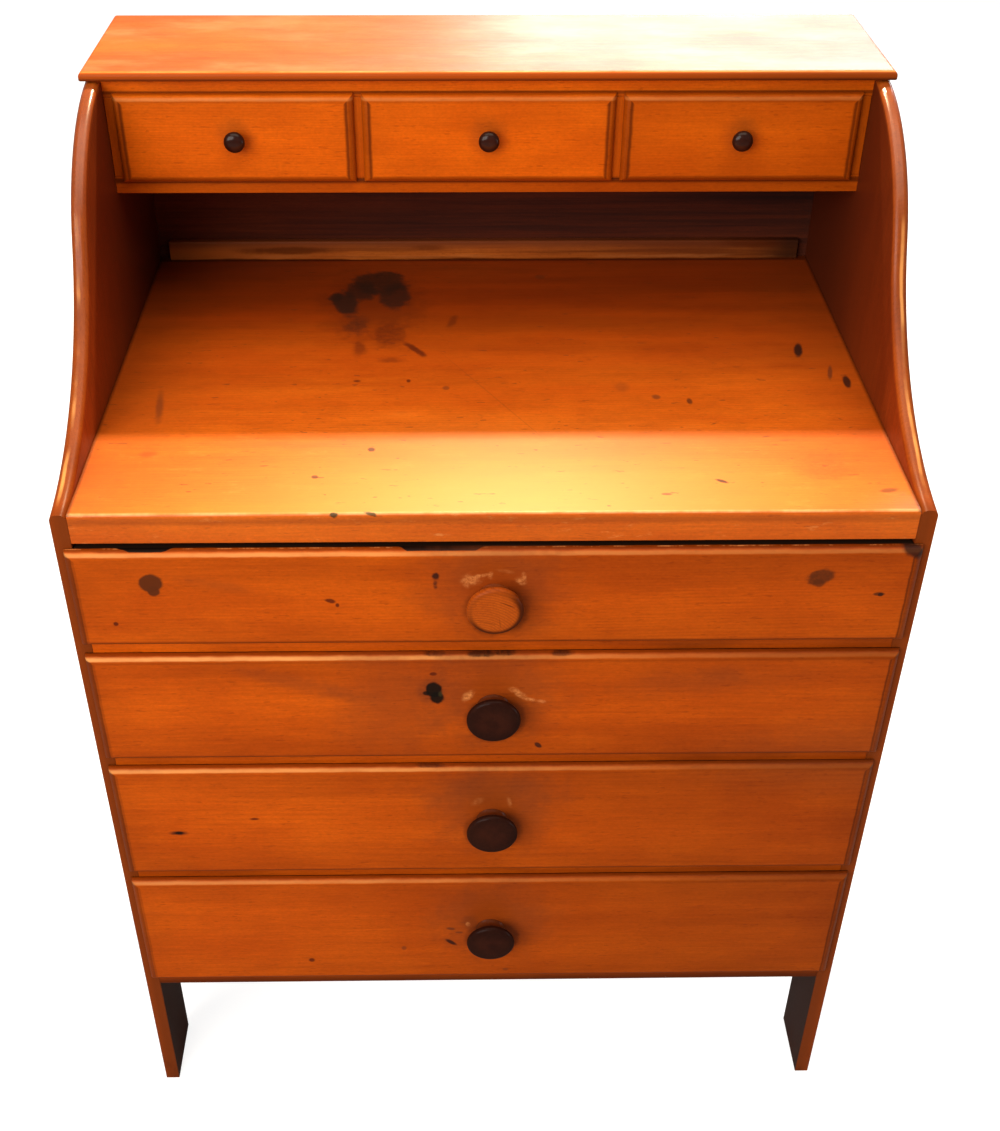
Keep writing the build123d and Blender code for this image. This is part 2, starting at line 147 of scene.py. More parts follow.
class Value:
    """What a node gives. It takes part in sums like a number, and each sum is one node more."""

    def __init__(self, paint, socket):
        self.paint = paint
        self.socket = socket

    def __add__(self, other):
        return self.paint.math("ADD", self, other)

    def __sub__(self, other):
        return self.paint.math("SUBTRACT", self, other)

    def __rsub__(self, other):
        return self.paint.math("SUBTRACT", other, self)

    def __mul__(self, other):
        return self.paint.math("MULTIPLY", self, other)

    def __abs__(self):
        return self.paint.math("ABSOLUTE", self)

    def scaled(self, factor, start):
        return self.paint.math("MULTIPLY_ADD", self, factor, start)

    def step(self, low, high, bottom=0.0, top=1.0):
        """Goes smoothly from bottom to top as this goes from low to high."""
        made = self.paint.node("MapRange", self, low, high, bottom, top, interpolation_type="SMOOTHSTEP")
        return Value(self.paint, made.outputs[0])

    def near(self, middle, gone, full, top=1.0):
        """top where this is less than full from middle, nothing where it is more than gone from it."""
        return abs(self - middle).step(gone, full, top=top)


class Paint:
    """A material under construction. What is put in a node is a number, a tuple, a Value or a socket."""

    def __init__(self, name):
        self.material = bpy.data.materials.new(name)
        self.material.use_nodes = True
        self.tree = self.material.node_tree
        self.tree.nodes.clear()
        places = self.node("TexCoord").outputs
        self.point = Value(self, places["Object"])
        self.x, self.y, self.z = self.split(self.point)
        self.facing = self.split(places["Normal"])

    def node(self, kind, *values, **settings):
        made = self.tree.nodes.new("ShaderNode" + kind)
        for name, value in settings.items():
            setattr(made, name, value)
        for socket, value in zip(made.inputs, values):
            self.put(socket, value)
        return made

    def put(self, socket, value):
        if isinstance(value, Value):
            value = value.socket
        if isinstance(value, bpy.types.NodeSocket):
            self.tree.links.new(value, socket)
        else:
            socket.default_value = value

    def math(self, operation, *values):
        return Value(self, self.node("Math", *values, operation=operation).outputs[0])

    def least(self, *values):
        return reduce(lambda one, other: self.math("MINIMUM", one, other), values)

    def most(self, *values):
        return reduce(lambda one, other: self.math("MAXIMUM", one, other), values)

    def vector(self, operation, *values, output=0):
        return Value(self, self.node("VectorMath", *values, operation=operation).outputs[output])

    def length(self, vector):
        return self.vector("LENGTH", vector, output=1)

    def split(self, vector):
        return [Value(self, output) for output in self.node("SeparateXYZ", vector).outputs[:3]]

    def join(self, x, y, z):
        return Value(self, self.node("CombineXYZ", x, y, z).outputs[0])

    def noise(self, stretch, detail=2.0, roughness=0.5, shift=(0, 0, 0), at=None):
        """Noise from 0 to 1. stretch is how many blotches there are in a metre, each way."""
        made = self.node("TexNoise", noise_dimensions="3D")
        self.put(made.inputs["Vector"], self.vector("MULTIPLY_ADD", at or self.point, stretch, shift))
        self.put(made.inputs["Scale"], 1.0)
        self.put(made.inputs["Detail"], detail)
        self.put(made.inputs["Roughness"], roughness)
        return Value(self, made.outputs["Fac"])

    def jitter(self, stretch, size):
        """Noise about zero, as a length that makes a mask's edge ragged."""
        return self.noise(stretch, detail=3.0, shift=(3.1, 7.7, 1.3)).scaled(2 * size, -size)

    def mix(self, factor, below, above, blend="MIX"):
        """above over below. Both are colours."""
        made = self.node("Mix", data_type="RGBA", blend_type=blend)
        self.put(made.inputs[0], factor)
        for socket, value in ((made.inputs[6], below), (made.inputs[7], above)):
            self.put(socket, (*value, 1.0) if isinstance(value, tuple) else value)
        return Value(self, made.outputs[2])

    def multiply(self, below, above):
        return self.mix(1.0, below, above, blend="MULTIPLY")


# ---- Pine ----


@dataclass(frozen=True)
class Finish:
    """How one kind of pine surface looks. Colours are linear red, green and blue."""

    light: tuple
    dark: tuple
    latewood: tuple
    rings: float = 0.14  # how strongly the growth rings show
    fibres: float = 0.2
    pores: float = 0.16
    clouds: float = 0.12  # broad light and dark, redder where dark
    flecks: float = 0.34
    roughness: float = 0.42
    specular: float = 0.06
    coat: float = 0.04
    coat_roughness: float = 0.3
    relief: float = 0.3


FRONT_PINE = Finish(light=(0.7, 0.108, 0.003), dark=(0.5, 0.07, 0.002), latewood=(0.26, 0.03, 0.001))
GALLERY_PINE = Finish(light=(0.82, 0.149, 0.003), dark=(0.62, 0.104, 0.002), latewood=(0.32, 0.04, 0.001))
CASE_PINE = Finish(
    light=(0.5, 0.08, 0.005), dark=(0.37, 0.05, 0.003), latewood=(0.2, 0.024, 0.002), rings=0.25,
)
OGEE_PINE = Finish(light=(0.34, 0.062, 0.004), dark=(0.24, 0.04, 0.003), latewood=(0.14, 0.02, 0.002))
WORKTOP_PINE = Finish(
    light=(0.88, 0.17, 0.006), dark=(0.68, 0.105, 0.003), latewood=(0.36, 0.045, 0.002),
    specular=0.2, coat=0.2, coat_roughness=0.34,
)
TOP_PINE = Finish(
    light=(0.62, 0.125, 0.006), dark=(0.5, 0.086, 0.004), latewood=(0.36, 0.045, 0.003),
    specular=0.12, coat=0.52, coat_roughness=0.36,
)
INNER_PINE = Finish(light=(0.3, 0.046, 0.006), dark=(0.19, 0.026, 0.004), latewood=(0.11, 0.014, 0.003))
LEDGE_PINE = replace(INNER_PINE, light=(0.52, 0.125, 0.016), dark=(0.42, 0.092, 0.011))
BARE_PINE = Finish(
    light=(0.5, 0.25, 0.09), dark=(0.37, 0.16, 0.052), latewood=(0.27, 0.095, 0.028),
    rings=0.45, flecks=0.3, roughness=0.75, coat=0.0, specular=0.2, relief=0.6,
)
AGED_PINE = Finish(
    light=(0.24, 0.105, 0.045), dark=(0.15, 0.06, 0.025), latewood=(0.09, 0.033, 0.015),
    rings=0.5, flecks=0.4, roughness=0.8, coat=0.0, specular=0.15, relief=0.6,
)
DARK_KNOB_WOOD = Finish(
    light=(0.03, 0.008, 0.004), dark=(0.018, 0.0045, 0.003), latewood=(0.012, 0.003, 0.002),
    rings=0.1, flecks=0.1, roughness=0.4, coat_roughness=0.16, specular=0.03,
)
NATURAL_KNOB_WOOD = Finish(
    light=(0.56, 0.1, 0.006), dark=(0.4, 0.062, 0.004), latewood=(0.2, 0.026, 0.002),
)
GRAIN_AXES = {"x": (0, 1, 2), "y": (1, 2, 0), "z": (2, 0, 1)}


@dataclass(frozen=True)
class Mark:
    """A stain or worn place. across and along are its centre on the board, in millimetres."""

    across: float
    along: float
    width: float
    length: float
    tint: tuple = BLACK_STAIN
    strength: float = 0.9
    edge: float = 0.35  # how soft its edge is, as a share of its size
    ragged: float = 0.5
    tilt: float = 0.0  # degrees
    broken: float = 0.0  # how much of it is missing, in fine specks


class Pine(Paint):
    """Straight-grained pine with a finish. base is its colour, with all that has been laid on it so far."""

    def __init__(self, name, grain, seed, finish):
        super().__init__(name)
        self.finish = finish
        self.make_figure(grain, seed)
        self.base = self.stained(finish)

    def make_figure(self, grain, seed):
        """The figure of a log whose heart lies outside the board. grain is the fibres' axis."""
        parts = (self.x, self.y, self.z)
        board = self.join(*(parts[index] for index in GRAIN_AXES[grain]))
        shift = (seed * 3.7, seed * 5.3, seed * 7.9)
        other = shift[::-1]

        heart = (0, 0.31 + 0.05 * math.sin(seed), 0.24 + 0.06 * math.cos(2 * seed))
        radius = self.vector("DISTANCE", self.vector("MULTIPLY", board, (0.0, 1.0, 1.0)), heart, output=1)
        sway = self.noise((1.3, 5, 5), shift=shift, at=board) * RING_SWAY
        wobble = self.noise((9, 110, 110), shift=shift, at=board) * RING_WOBBLE
        cycle = self.math("FRACT", self.math("DIVIDE", radius + sway + wobble, RING_WIDTH))
        clear = self.noise((1.7, 12, 12), shift=other, at=board).step(0.3, 0.75, 0.35)
        self.ring = cycle.step(0.3, 0.85) * cycle.step(1.0, 0.9) * clear

        broad = self.noise((2.4, 11, 11), detail=4, roughness=0.55, shift=shift, at=board)
        band = self.noise((4, 60, 60), detail=3, shift=shift, at=board)
        streak = self.noise((14, 330, 330), detail=3, roughness=0.65, shift=shift, at=board)
        self.tone = (broad * 1.2 + band * 0.45 + streak * 0.55 - 0.6).step(0.15, 0.85)
        self.fibre = self.noise((90, 760, 760), detail=3, roughness=0.75, shift=shift, at=board)
        self.fleck = self.noise((95, 520, 520), detail=1, shift=shift, at=board).step(0.66, 0.74)
        self.pore = self.noise((330, 520, 520), roughness=0.6, shift=shift, at=board)
        self.cloud = self.noise((7, 13, 13), detail=4, roughness=0.62, shift=other, at=board)

    def stained(self, finish):
        """The figure's colour in one finish."""
        base = self.mix(self.tone, finish.light, finish.dark)
        base = self.mix(self.ring * finish.rings, base, finish.latewood)
        base = self.mix(self.fleck * finish.flecks, base, finish.latewood)
        fine = self.fibre.scaled(2 * finish.fibres, 1 - finish.fibres)
        fine = fine * self.pore.scaled(2 * finish.pores, 1 - finish.pores)
        broad = self.cloud.step(0.3, 0.7, 1 - finish.clouds, 1 + finish.clouds)
        rest = fine * broad
        return self.multiply(base, self.join(fine * broad.scaled(0.6, 0.4), rest, rest))

    def lay(self, tint, *shares):
        """Puts tint over the base, as strong as the product of shares."""
        self.base = self.mix(reduce(mul, shares), self.base, tint)

    def darken(self, share, amount):
        """Takes amount of the base's light away where share is 1."""
        left = share.scaled(-amount, 1.0)
        self.base = self.multiply(self.base, self.join(left, left, left))

    def mark(self, marks, flat=None):
        """Lays marks on the base. flat is the surface unrolled, (across, along, 0): x and z unless given."""
        flat = flat or self.join(self.x, self.z, 0.0)
        rough = self.noise((150, 150, 150), detail=3, roughness=0.6, at=flat)
        uneven = rough * 0.8 + self.noise((38, 38, 38), at=flat) * 1.2 - 1.0
        fine = self.noise((210, 250, 250), detail=4, roughness=0.75, at=flat)
        for mark in marks:
            offset = self.vector("SUBTRACT", flat, (mark.across * MM, mark.along * MM, 0.0))
            if mark.tilt:
                turn = self.node("VectorRotate", rotation_type="Z_AXIS")
                self.put(turn.inputs["Vector"], offset)
                self.put(turn.inputs["Angle"], math.radians(-mark.tilt))
                offset = turn.outputs[0]
            share = (2 / (mark.width * MM), 2 / (mark.length * MM), 0.0)
            reach = self.length(self.vector("MULTIPLY", offset, share)) + uneven * mark.ragged
            inside = reach.step(1 + mark.edge, 1 - mark.edge)
            if mark.broken:
                inside = inside * fine.step(0.36, 0.68, 1 - mark.broken)
            self.lay(mark.tint, inside, mark.strength)

    def shade(self, roughness=None, coat=None):
        """Ends the material: base colour, open fibres with hard latewood proud of them, and gloss."""
        finish = self.finish
        bump = self.node("Bump")
        self.put(bump.inputs["Strength"], finish.relief)
        self.put(bump.inputs["Distance"], RELIEF_DEPTH)
        self.put(bump.inputs["Height"], self.fibre * 0.6 + self.ring * 0.25 + self.fleck * -0.4)
        surface = self.node("BsdfPrincipled")
        self.put(surface.inputs["Base Color"], self.base)
        self.put(surface.inputs["Normal"], bump.outputs[0])
        self.put(surface.inputs["Roughness"], finish.roughness if roughness is None else roughness)
        self.put(surface.inputs["Specular IOR Level"], finish.specular)
        self.put(surface.inputs["Coat Weight"], finish.coat if coat is None else coat)
        self.put(surface.inputs["Coat Roughness"], finish.coat_roughness)
        output = self.node("OutputMaterial")
        self.put(output.inputs["Surface"], surface.outputs[0])
        return self.material


# ---- Stains, worn places and painted shadows ----


def pale(across, along, width, length, tilt=0.0, strength=0.75):
    """A place where the finish is rubbed off."""
    return Mark(across, along, width, length, WORN_PALE, strength, 0.6, 1.3, tilt, broken=0.85)


def knob_marks(drawer):
    """The dark ring that hands leave round a knob, and painted shadow below the head of a large one."""
    low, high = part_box(drawer + "_knob")
    size = (high.x - low.x) / MM
    across = (low.x + high.x) / 2 / MM
    along = (low.z + high.z) / 2 / MM
    if drawer in SMALL_DRAWERS:
        return [Mark(across, along, 1.6 * size, 1.6 * size, BROWN_STAIN, 0.3, 0.5, 0.5)]
    return [
        Mark(across, along + 0.3 * size, 2.3 * size, 2.1 * size, BROWN_STAIN, 0.42, 0.6, 0.9),
        # Painted shadow under the head, 1.5 mm right of the middle
        Mark(1.5, along - 0.31 * size, 1.13 * size, 1.12 * size, GRIME_AND_SHADE, 0.5, 0.12, 0.2),
    ]


FRONT_MARKS = {
    "drawer_1": [
        Mark(-281, 694.8, 19, 18, BLOTCH_BROWN, 0.97, 0.15, 0.35),
        Mark(-279.5, 686.5, 10, 10, BLOTCH_BROWN, 0.97, 0.2, 0.4, 20),
        Mark(266.5, 697.1, 19, 14, BLOTCH_BROWN, 0.97, 0.25, 1, 8, broken=0.15),
        Mark(267, 690.5, 9, 7, BLOTCH_BROWN, 0.8, 0.4, 0.7),
        Mark(318, 679.1, 9, 3.5, BLOTCH_BROWN, 0.9, 0.3, 0.9),
        Mark(319.5, 678.4, 4, 3.5, BLACK_STAIN, 0.8, 0.3, 0.6),
        Mark(-225, 692, 60, 9, BROWN_STAIN, 0.22, 0.8, 1.2, -14),
        Mark(-135.4, 675.4, 9, 4, SPECK_RED, 0.9, 0.3, 0.8, -15),
        Mark(-130, 671, 3, 4, SPECK_RED, 0.9),
        Mark(-315.1, 652.6, 4, 4, SPECK_RED, 0.95),
        Mark(-48.5, 700.5, 7, 8, BLACK_STAIN, 0.9, 0.3, 0.9),
        Mark(-48.9, 692, 4, 10, BLACK_STAIN, 0.8, 0.4, 0.9, broken=0.5),
        pale(-20, 695.5, 15, 10, 15),
        pale(-11.5, 700.5, 12, 3.5, 15),
        pale(-3.5, 701, 4, 7),
        pale(21.5, 694.5, 8, 5, -35),
        pale(24, 699.5, 3, 7, 10, 0.5),
        pale(8, 705, 12, 3, -10, 0.2),
        Mark(341.5, 722, 24, 10, BLACK_STAIN, 0.88, 0.4, 0.8, -25),
    ],
    "drawer_2": [
        Mark(-88, 560, 90, 120, BROWN_STAIN, 0.34, 0.8, 1.2),
        Mark(-165, 585, 110, 16, BROWN_STAIN, 0.3, 0.8, 1.2, -16),
        Mark(175, 583, 130, 26, BROWN_STAIN, 0.26, 0.9, 1.3, 3),
        Mark(195, 592, 30, 14, BROWN_STAIN, 0.25, 0.8, 1),
        # Broad darkening at the right end, where this drawer meets the next
        Mark(310, 500, 190, 56, BROWN_STAIN, 0.3, 0.8, 1),
        Mark(-53, 574.5, 21, 26, BROWN_STAIN, 0.5, 0.6, 0.9),
        Mark(-51.5, 576.5, 14, 18, INK, 0.97, 0.15, 0.5),
        Mark(-49, 567.5, 12, 15, INK, 0.97, 0.2, 0.5),
        Mark(-58, 573, 6, 5, INK, 0.9, 0.3, 0.5),
        Mark(-46, 572, 4, 6, INK_GLINT, 0.5, 0.4, 0.8),
        Mark(-52.1, 595, 6, 4, SPECK_RED, 0.9),
        Mark(40.6, 510, 5, 8, BLACK_STAIN, 0.85, 0.3, 0.6, 40),
        pale(17.5, 575.5, 9, 6, -30, 0.9),
        pale(24, 570, 12, 6, -35, 0.9),
        pale(31, 565, 12, 4, -15, 0.9),
        pale(42, 562.5, 6, 4, strength=0.6),
        pale(-21.5, 569.5, 7, 13, -35, 0.9),
        Mark(-51.5, 614.3, 17, 2.6, INK, 0.8, 0.4, 1, broken=0.5),
        Mark(-10.5, 614, 22, 3, INK, 0.9, 0.4, 1, broken=0.3),
        Mark(10, 614.4, 15, 2.4, INK, 0.8, 0.4, 1, broken=0.5),
        Mark(58.5, 614.2, 18, 3, INK, 0.85, 0.4, 1, broken=0.4),
    ],
    "drawer_3": [
        Mark(-293, 400, 15, 5.5, BLACK_STAIN, 0.9, 0.5, 0.7),
        Mark(-293, 400, 8, 3.5, INK, 0.9, 0.3, 0.6),
        Mark(-221.3, 418, 9, 3, SPECK_RED, 0.9, 0.4, 0.9),
        pale(-14, 438, 12, 6, 40, 0.3),
        pale(16, 438, 4, 12, 12, 0.4),
        Mark(-58, 481.4, 22, 2.2, INK, 0.7, 0.4, 1, broken=0.4),
        Mark(0, 452, 120, 34, BROWN_STAIN, 0.3, 0.8, 1.1),
        # Broad darkening at the right end, where this drawer meets the one above
        Mark(310, 476, 190, 50, BROWN_STAIN, 0.28, 0.8, 1),
    ],
    "drawer_4": [
        Mark(-39, 237.5, 4.5, 13, BLACK_STAIN, 0.9, 0.4, 0.3, 50),
        Mark(-39.5, 258.5, 9, 4, BROWN_STAIN, 0.85, tilt=-10),
        Mark(-31, 252.5, 8, 3, BROWN_STAIN, 0.7),
        Mark(-180.8, 211.6, 6, 6, SPECK_RED, 0.9, 0.4, 0.8),
        Mark(-86.8, 229.1, 5, 6, BROWN_STAIN, 0.6),
        Mark(-20, 268, 14, 18, BROWN_STAIN, 0.4, 0.6, 0.8),
        pale(-22, 265, 4, 5),
        Mark(16, 194, 6, 4, BROWN_STAIN, 0.6),
    ],
}
WORKTOP_MARKS = [
    Mark(-112, 140, 92, 130, STAIN_RED, 0.5, 0.45, 1),
    Mark(-108, 186, 54, 54, STAIN_CORE, 0.94, 0.2, 0.6, broken=0.2),
    Mark(-128, 166, 36, 40, STAIN_CORE, 0.92, 0.25, 0.7, broken=0.2),
    Mark(-141, 140, 24, 54, STAIN_CORE, 0.9, 0.3, 0.8, 14),
    Mark(-151, 154, 14, 18, STAIN_CORE, 0.85, 0.3, 0.8),
    Mark(-92, 156, 30, 58, STAIN_CORE, 0.9, 0.25, 0.6, broken=0.2),
    Mark(-126, 92, 22, 36, STAIN_CORE, 0.62, 0.5, 1.1, broken=0.5),
    Mark(-97, 74, 32, 44, STAIN_RED, 0.75, 0.5, 1.1, broken=0.5),
    Mark(-70, 44, 8, 34, STAIN_RED, 0.9, 0.4, 1, 38),
    Mark(-122, 44, 12, 26, STAIN_RED, 0.6, 0.6, 1),
    Mark(-92, 22, 20, 10, STAIN_RED, 0.5, 0.6, 1.2),
    Mark(-34.4, 98.5, 8, 24, STAIN_RED, 0.6, 0.5, 1, -15),
    Mark(-121, -17, 7, 4, SPECK_RED, 0.8, 0.4, 0.9),
    Mark(-74.4, -17, 4, 6, SPECK_RED, 0.85, 0.3, 0.9),
    Mark(-39.9, -30.4, 6, 7, BROWN_STAIN, 0.6),
    Mark(56.7, 198, 10, 10, BROWN_STAIN, 0.5),
    Mark(120, -30, 12, 16, BROWN_STAIN, 0.3, 0.6),
    Mark(148.9, -48.2, 8, 8, BROWN_STAIN, 0.7),
    Mark(178, -56, 5, 10, BLACK_STAIN, 0.7),
    Mark(293.7, 38.6, 8, 27, BLACK_STAIN, 0.92, 0.3, 0.5, -11),
    Mark(315.1, -4, 4, 26, BROWN_STAIN, 0.8, 0.4, 0.6, -12),
    Mark(326.8, -22.7, 7, 22, BLACK_STAIN, 0.9, 0.3, 0.5, -4),
    Mark(-294.1, -62, 7, 46, BROWN_STAIN, 0.6, 0.5, 0.8, 6),
    Mark(187.7, -185.3, 11, 4, SPECK_RED, 0.95, 0.3, 0.8, -30),
    Mark(-103, -134, 6, 6, SPECK_RED, 0.9, 0.3, 0.8),
    Mark(-148, -176, 6, 5, SPECK_RED, 0.8, 0.3, 0.8),
    Mark(140, -204, 9, 3, SPECK_RED, 0.7, 0.3, 0.8),
    Mark(322, -200, 14, 5, SPECK_RED, 0.6, 0.4, 1, 10),
    Mark(-290, -140, 14, 9, SPECK_RED, 0.35, 0.6, 1),
    Mark(278, -165, 40, 34, SHELLAC_RED, 0.5, 0.6, 1.6, broken=0.6),
    Mark(-129, -230.5, 7, 5, SPECK_OLIVE, 0.9, 0.3, 1.8),
    Mark(-101, -229, 11, 4, SPECK_OLIVE, 0.85, 0.4, 2.4, -20),
    Mark(0, -41, 1.4, 180, BROWN_STAIN, 0.22, 0.4, 0.3, 30),
]
LEDGE_MARKS = [
    Mark(-205, 768, 96, 8, GRIME_AND_SHADE, 0.7, 0.5, 0.6),
    Mark(-60, 771, 28, 6, GRIME_AND_SHADE, 0.35, 0.5, 0.6),
    Mark(280, 776, 60, 12, GRIME_AND_SHADE, 0.55, 0.6, 0.6),
]


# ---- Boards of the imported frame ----


def dress(node, material, arris=ARRIS):
    """Gives a packed board its finish and eases its sharp edges."""
    piece = NODES[node]
    piece.data.materials.clear()
    piece.data.materials.append(material)
    weld = piece.modifiers.new("weld", "WELD")
    weld.merge_threshold = WELD_DISTANCE
    flat = piece.modifiers.new("flat", "DECIMATE")
    flat.decimate_type = "DISSOLVE"
    flat.angle_limit = FLAT_ANGLE
    ease = piece.modifiers.new("ease", "BEVEL")
    ease.width = arris
    ease.segments = 2
    ease.limit_method = "ANGLE"
    ease.angle_limit = SHARP_ANGLE
    ease.use_clamp_overlap = True
    piece.modifiers.new("normals", "WEIGHTED_NORMAL")


@dataclass(frozen=True)
class LipWear:
    """Dirt, wear, painted shade and painted highlight on the moulded lip of a drawer front: lengths in
    metres, and strengths.
    """

    moulding: float  # edge of the lip to where its rounding meets the face
    lip: float  # thickness of the lip
    # The brown and the dark lines are dirt and painted shade
    left: float = 0.75  # brown on the rounding at each end and below
    right: float = 0.55
    lower: float = 0.15
    lower_reach: float = 3.2 * MM  # how far up from its lower edge the lip is dark
    left_line: float = 0.3  # the dark line along each edge
    right_line: float = 0.75
    lower_line: float = 0.6
    upper_line: float = 0.0
    line_width: float = 1.7 * MM  # from its middle to where it has faded
    lower_line_width: float = 4.0 * MM
    lower_line_height: float = 2.8 * MM  # of its middle, above the lower edge
    # The rubbed band is worn gold and painted highlight on the upper rounding
    rubbed: float = 0.8
    rubbed_right: float = 0.2  # what is left of that at the right end
    rubbed_height: float = 3.0 * MM  # middle of the rubbed band, below the top of the lip
    joint: float = 0.5  # dirt on the last of the rounding
    lip_top_right_shade: float = 0.4  # on the top of the lip, at its right end
    # The black of the joint is painted shade
    gap: float = 7.0 * MM  # depth behind the face where the black of the joint begins


LARGE_LIP = LipWear(moulding=7 * MM, lip=8 * MM, upper_line=0.22)
THIRD_DRAWER_LIP = replace(LARGE_LIP, lower=0.6, rubbed=0.65, upper_line=0.0)
LOW_DRAWER_LIP = replace(LARGE_LIP, lower=0.75, rubbed=0.4, left=0.6, upper_line=0.1)
TOP_DRAWER_LIP = replace(
    LARGE_LIP, joint=0.6, gap=7.5 * MM, rubbed=0.6, rubbed_right=0.4, upper_line=0.0, lip_top_right_shade=0.15,
)
SMALL_LIP = LipWear(
    moulding=6 * MM, lip=7 * MM, left=0.45, right=0.5, lower_reach=6.5 * MM, left_line=0.8, right_line=0.8,
    lower=0.5, lower_line=0.62, lower_line_height=3.4 * MM, lower_line_width=3.6 * MM, upper_line=0.25,
    line_width=3.0 * MM, rubbed=0.3, rubbed_right=0.8, rubbed_height=4 * MM,
    joint=0.35, lip_top_right_shade=0.15,
)
LIP_WEAR = {
    "drawer_1": TOP_DRAWER_LIP, "drawer_2": LARGE_LIP,
    "drawer_3": THIRD_DRAWER_LIP, "drawer_4": LOW_DRAWER_LIP,
}
# Painted shade: how much darker each front gets toward its right end
RIGHT_END_SHADE = {
    "drawer_1": 0.12, "drawer_2": 0.14, "drawer_3": 0.28, "drawer_4": 0.36, "gallery_drawer_right": 0.18,
}
CHIPPED_GAP = ((-301, -265), (-74.5, -10.5))  # where the top drawer's joint is chipped, in millimetres


def moulding_dirt_and_shade(paint, low, high, wear):
    """Brown on the rounding of the lip, and the dark line where it meets the face: dirt and painted shade."""
    ragged = paint.jitter((40, 40, 90), 0.7 * MM)
    left = paint.x - low.x + ragged
    right = high.x - paint.x + ragged
    below = paint.z - low.z + ragged
    above = high.z - paint.z + ragged
    reach = wear.moulding
    side_line = reach + 0.5 * MM
    mitred = (left, right, below + (side_line - wear.lower_line_height), above)
    # For each edge: distance from it, the brown's strength and reach, the line's strength, middle and width.
    edges = (
        (left, wear.left, reach, wear.left_line, side_line, wear.line_width),
        (right, wear.right, reach, wear.right_line, side_line, wear.line_width),
        (below, wear.lower, wear.lower_reach, wear.lower_line, wear.lower_line_height, wear.lower_line_width),
        (above, 0.0, reach, wear.upper_line, reach - 0.5 * MM, wear.line_width),
    )
    marks = []
    for index, (edge, fill, far, line, middle, width) in enumerate(edges):
        others = mitred[:index] + mitred[index + 1:]
        own = (paint.least(*others) - mitred[index]).step(-0.8 * MM, 0.4 * MM)
        marks.append(own * edge.step(far + 0.6 * MM, far - 1.2 * MM, top=fill))
        marks.append(own * edge.near(middle, width, 0.3 * MM, line))
    paint.lay(GRIME_AND_SHADE, paint.most(*marks))
    nearest = paint.least(left, right, below, above)
    cloud = paint.noise((9, 9, 14), detail=3, shift=(2, 5, 7))
    paint.lay(GRIME_AND_SHADE, nearest.step(55 * MM, 4 * MM, top=0.35), cloud)


def chipped(paint, depth, chips):
    """depth, counted deeper where the joint over the lip is chipped."""
    ragged = paint.jitter((50, 1, 1), 7 * MM)
    for start, end in chips:
        middle, half = (start + end) / 2 * MM, (end - start) / 2 * MM
        off = abs(paint.x - middle + ragged)
        depth = depth + off.step(half + 5 * MM, half - 6 * MM, top=CHIP_DEPTH)
    return depth


def upper_lip(paint, low, high, wear, chips):
    """Top of the lip: rubbed and painted as a highlight where it rounds over, then dirty, with painted shade
    at its right end, then the painted shade of the joint's black.
    """
    ragged = paint.jitter((45, 45, 45), 0.6 * MM)
    below = high.z - paint.z + ragged
    depth = paint.y - low.y + ragged
    on_top = below.step(wear.moulding, 0.85 * wear.moulding)
    rub = paint.noise((16, 16, 60), detail=4, roughness=0.65, shift=(high.z * 7, 1, 3))
    strength = rub.step(0.2, 0.62, 0.55 * wear.rubbed, wear.rubbed)
    fade = paint.x.step(-180 * MM, 200 * MM, 1.0, wear.rubbed_right)
    # Rubbed wear and painted highlight, fading to the right
    paint.lay(WORN_GOLD_AND_HIGHLIGHT, below.near(wear.rubbed_height, 2.2 * MM, 0.6 * MM), strength, fade)
    # Painted shade at the right end of the lip's top
    right = paint.x.step(60 * MM, 330 * MM, top=wear.lip_top_right_shade)
    paint.lay(GRIME_AND_SHADE, below.step(9 * MM, 5 * MM), right)
    paint.lay(GRIME_AND_SHADE, below.step(1.5 * MM, 0.4 * MM, top=wear.joint))
    if chips:
        broken = paint.noise((60, 1, 1), detail=4, roughness=0.75).step(0.45, 0.65, top=0.6)
        paint.lay(WORN_PALE, on_top, depth.near(6.4 * MM, 0.9 * MM, 0.3 * MM), broken)
        depth = chipped(paint, depth, chips)
    # Painted shade: black in the joint behind the lip
    paint.lay(GAP_SHADE_BLACK, on_top, depth.step(wear.gap - 0.4 * MM, wear.gap + 0.4 * MM))


def drawer_front_material(drawer, finish, seed, wear, marks):
    """Shellac outside with painted shade toward the right, dirt and painted shade in the moulding, a rubbed
    upper arris with a painted highlight, and marks. Bare wood behind, with painted shade in the joint.
    """
    paint = Pine(drawer + "_front_pine", "x", seed, finish)
    low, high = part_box(drawer + "_front")
    # Painted shade toward the right
    if drawer in RIGHT_END_SHADE:
        paint.darken(paint.x.step(-260 * MM, 300 * MM), RIGHT_END_SHADE[drawer])
    moulding_dirt_and_shade(paint, low, high, wear)
    upper_lip(paint, low, high, wear, CHIPPED_GAP if drawer == "drawer_1" else ())
    paint.mark([*knob_marks(drawer), *marks])
    behind = paint.y - low.y
    bare = behind.step(wear.lip + 0.2 * MM, wear.lip + 0.8 * MM)
    # Painted shade on the bare wood just behind the face, in the joint
    joint_shade = behind.step(30 * MM, 12 * MM)
    paint.lay(paint.mix(joint_shade, paint.stained(BARE_PINE), JOINT_GAP_SHADE), bare)
    return paint.shade(roughness=bare.scaled(BARE_PINE.roughness - finish.roughness, finish.roughness))


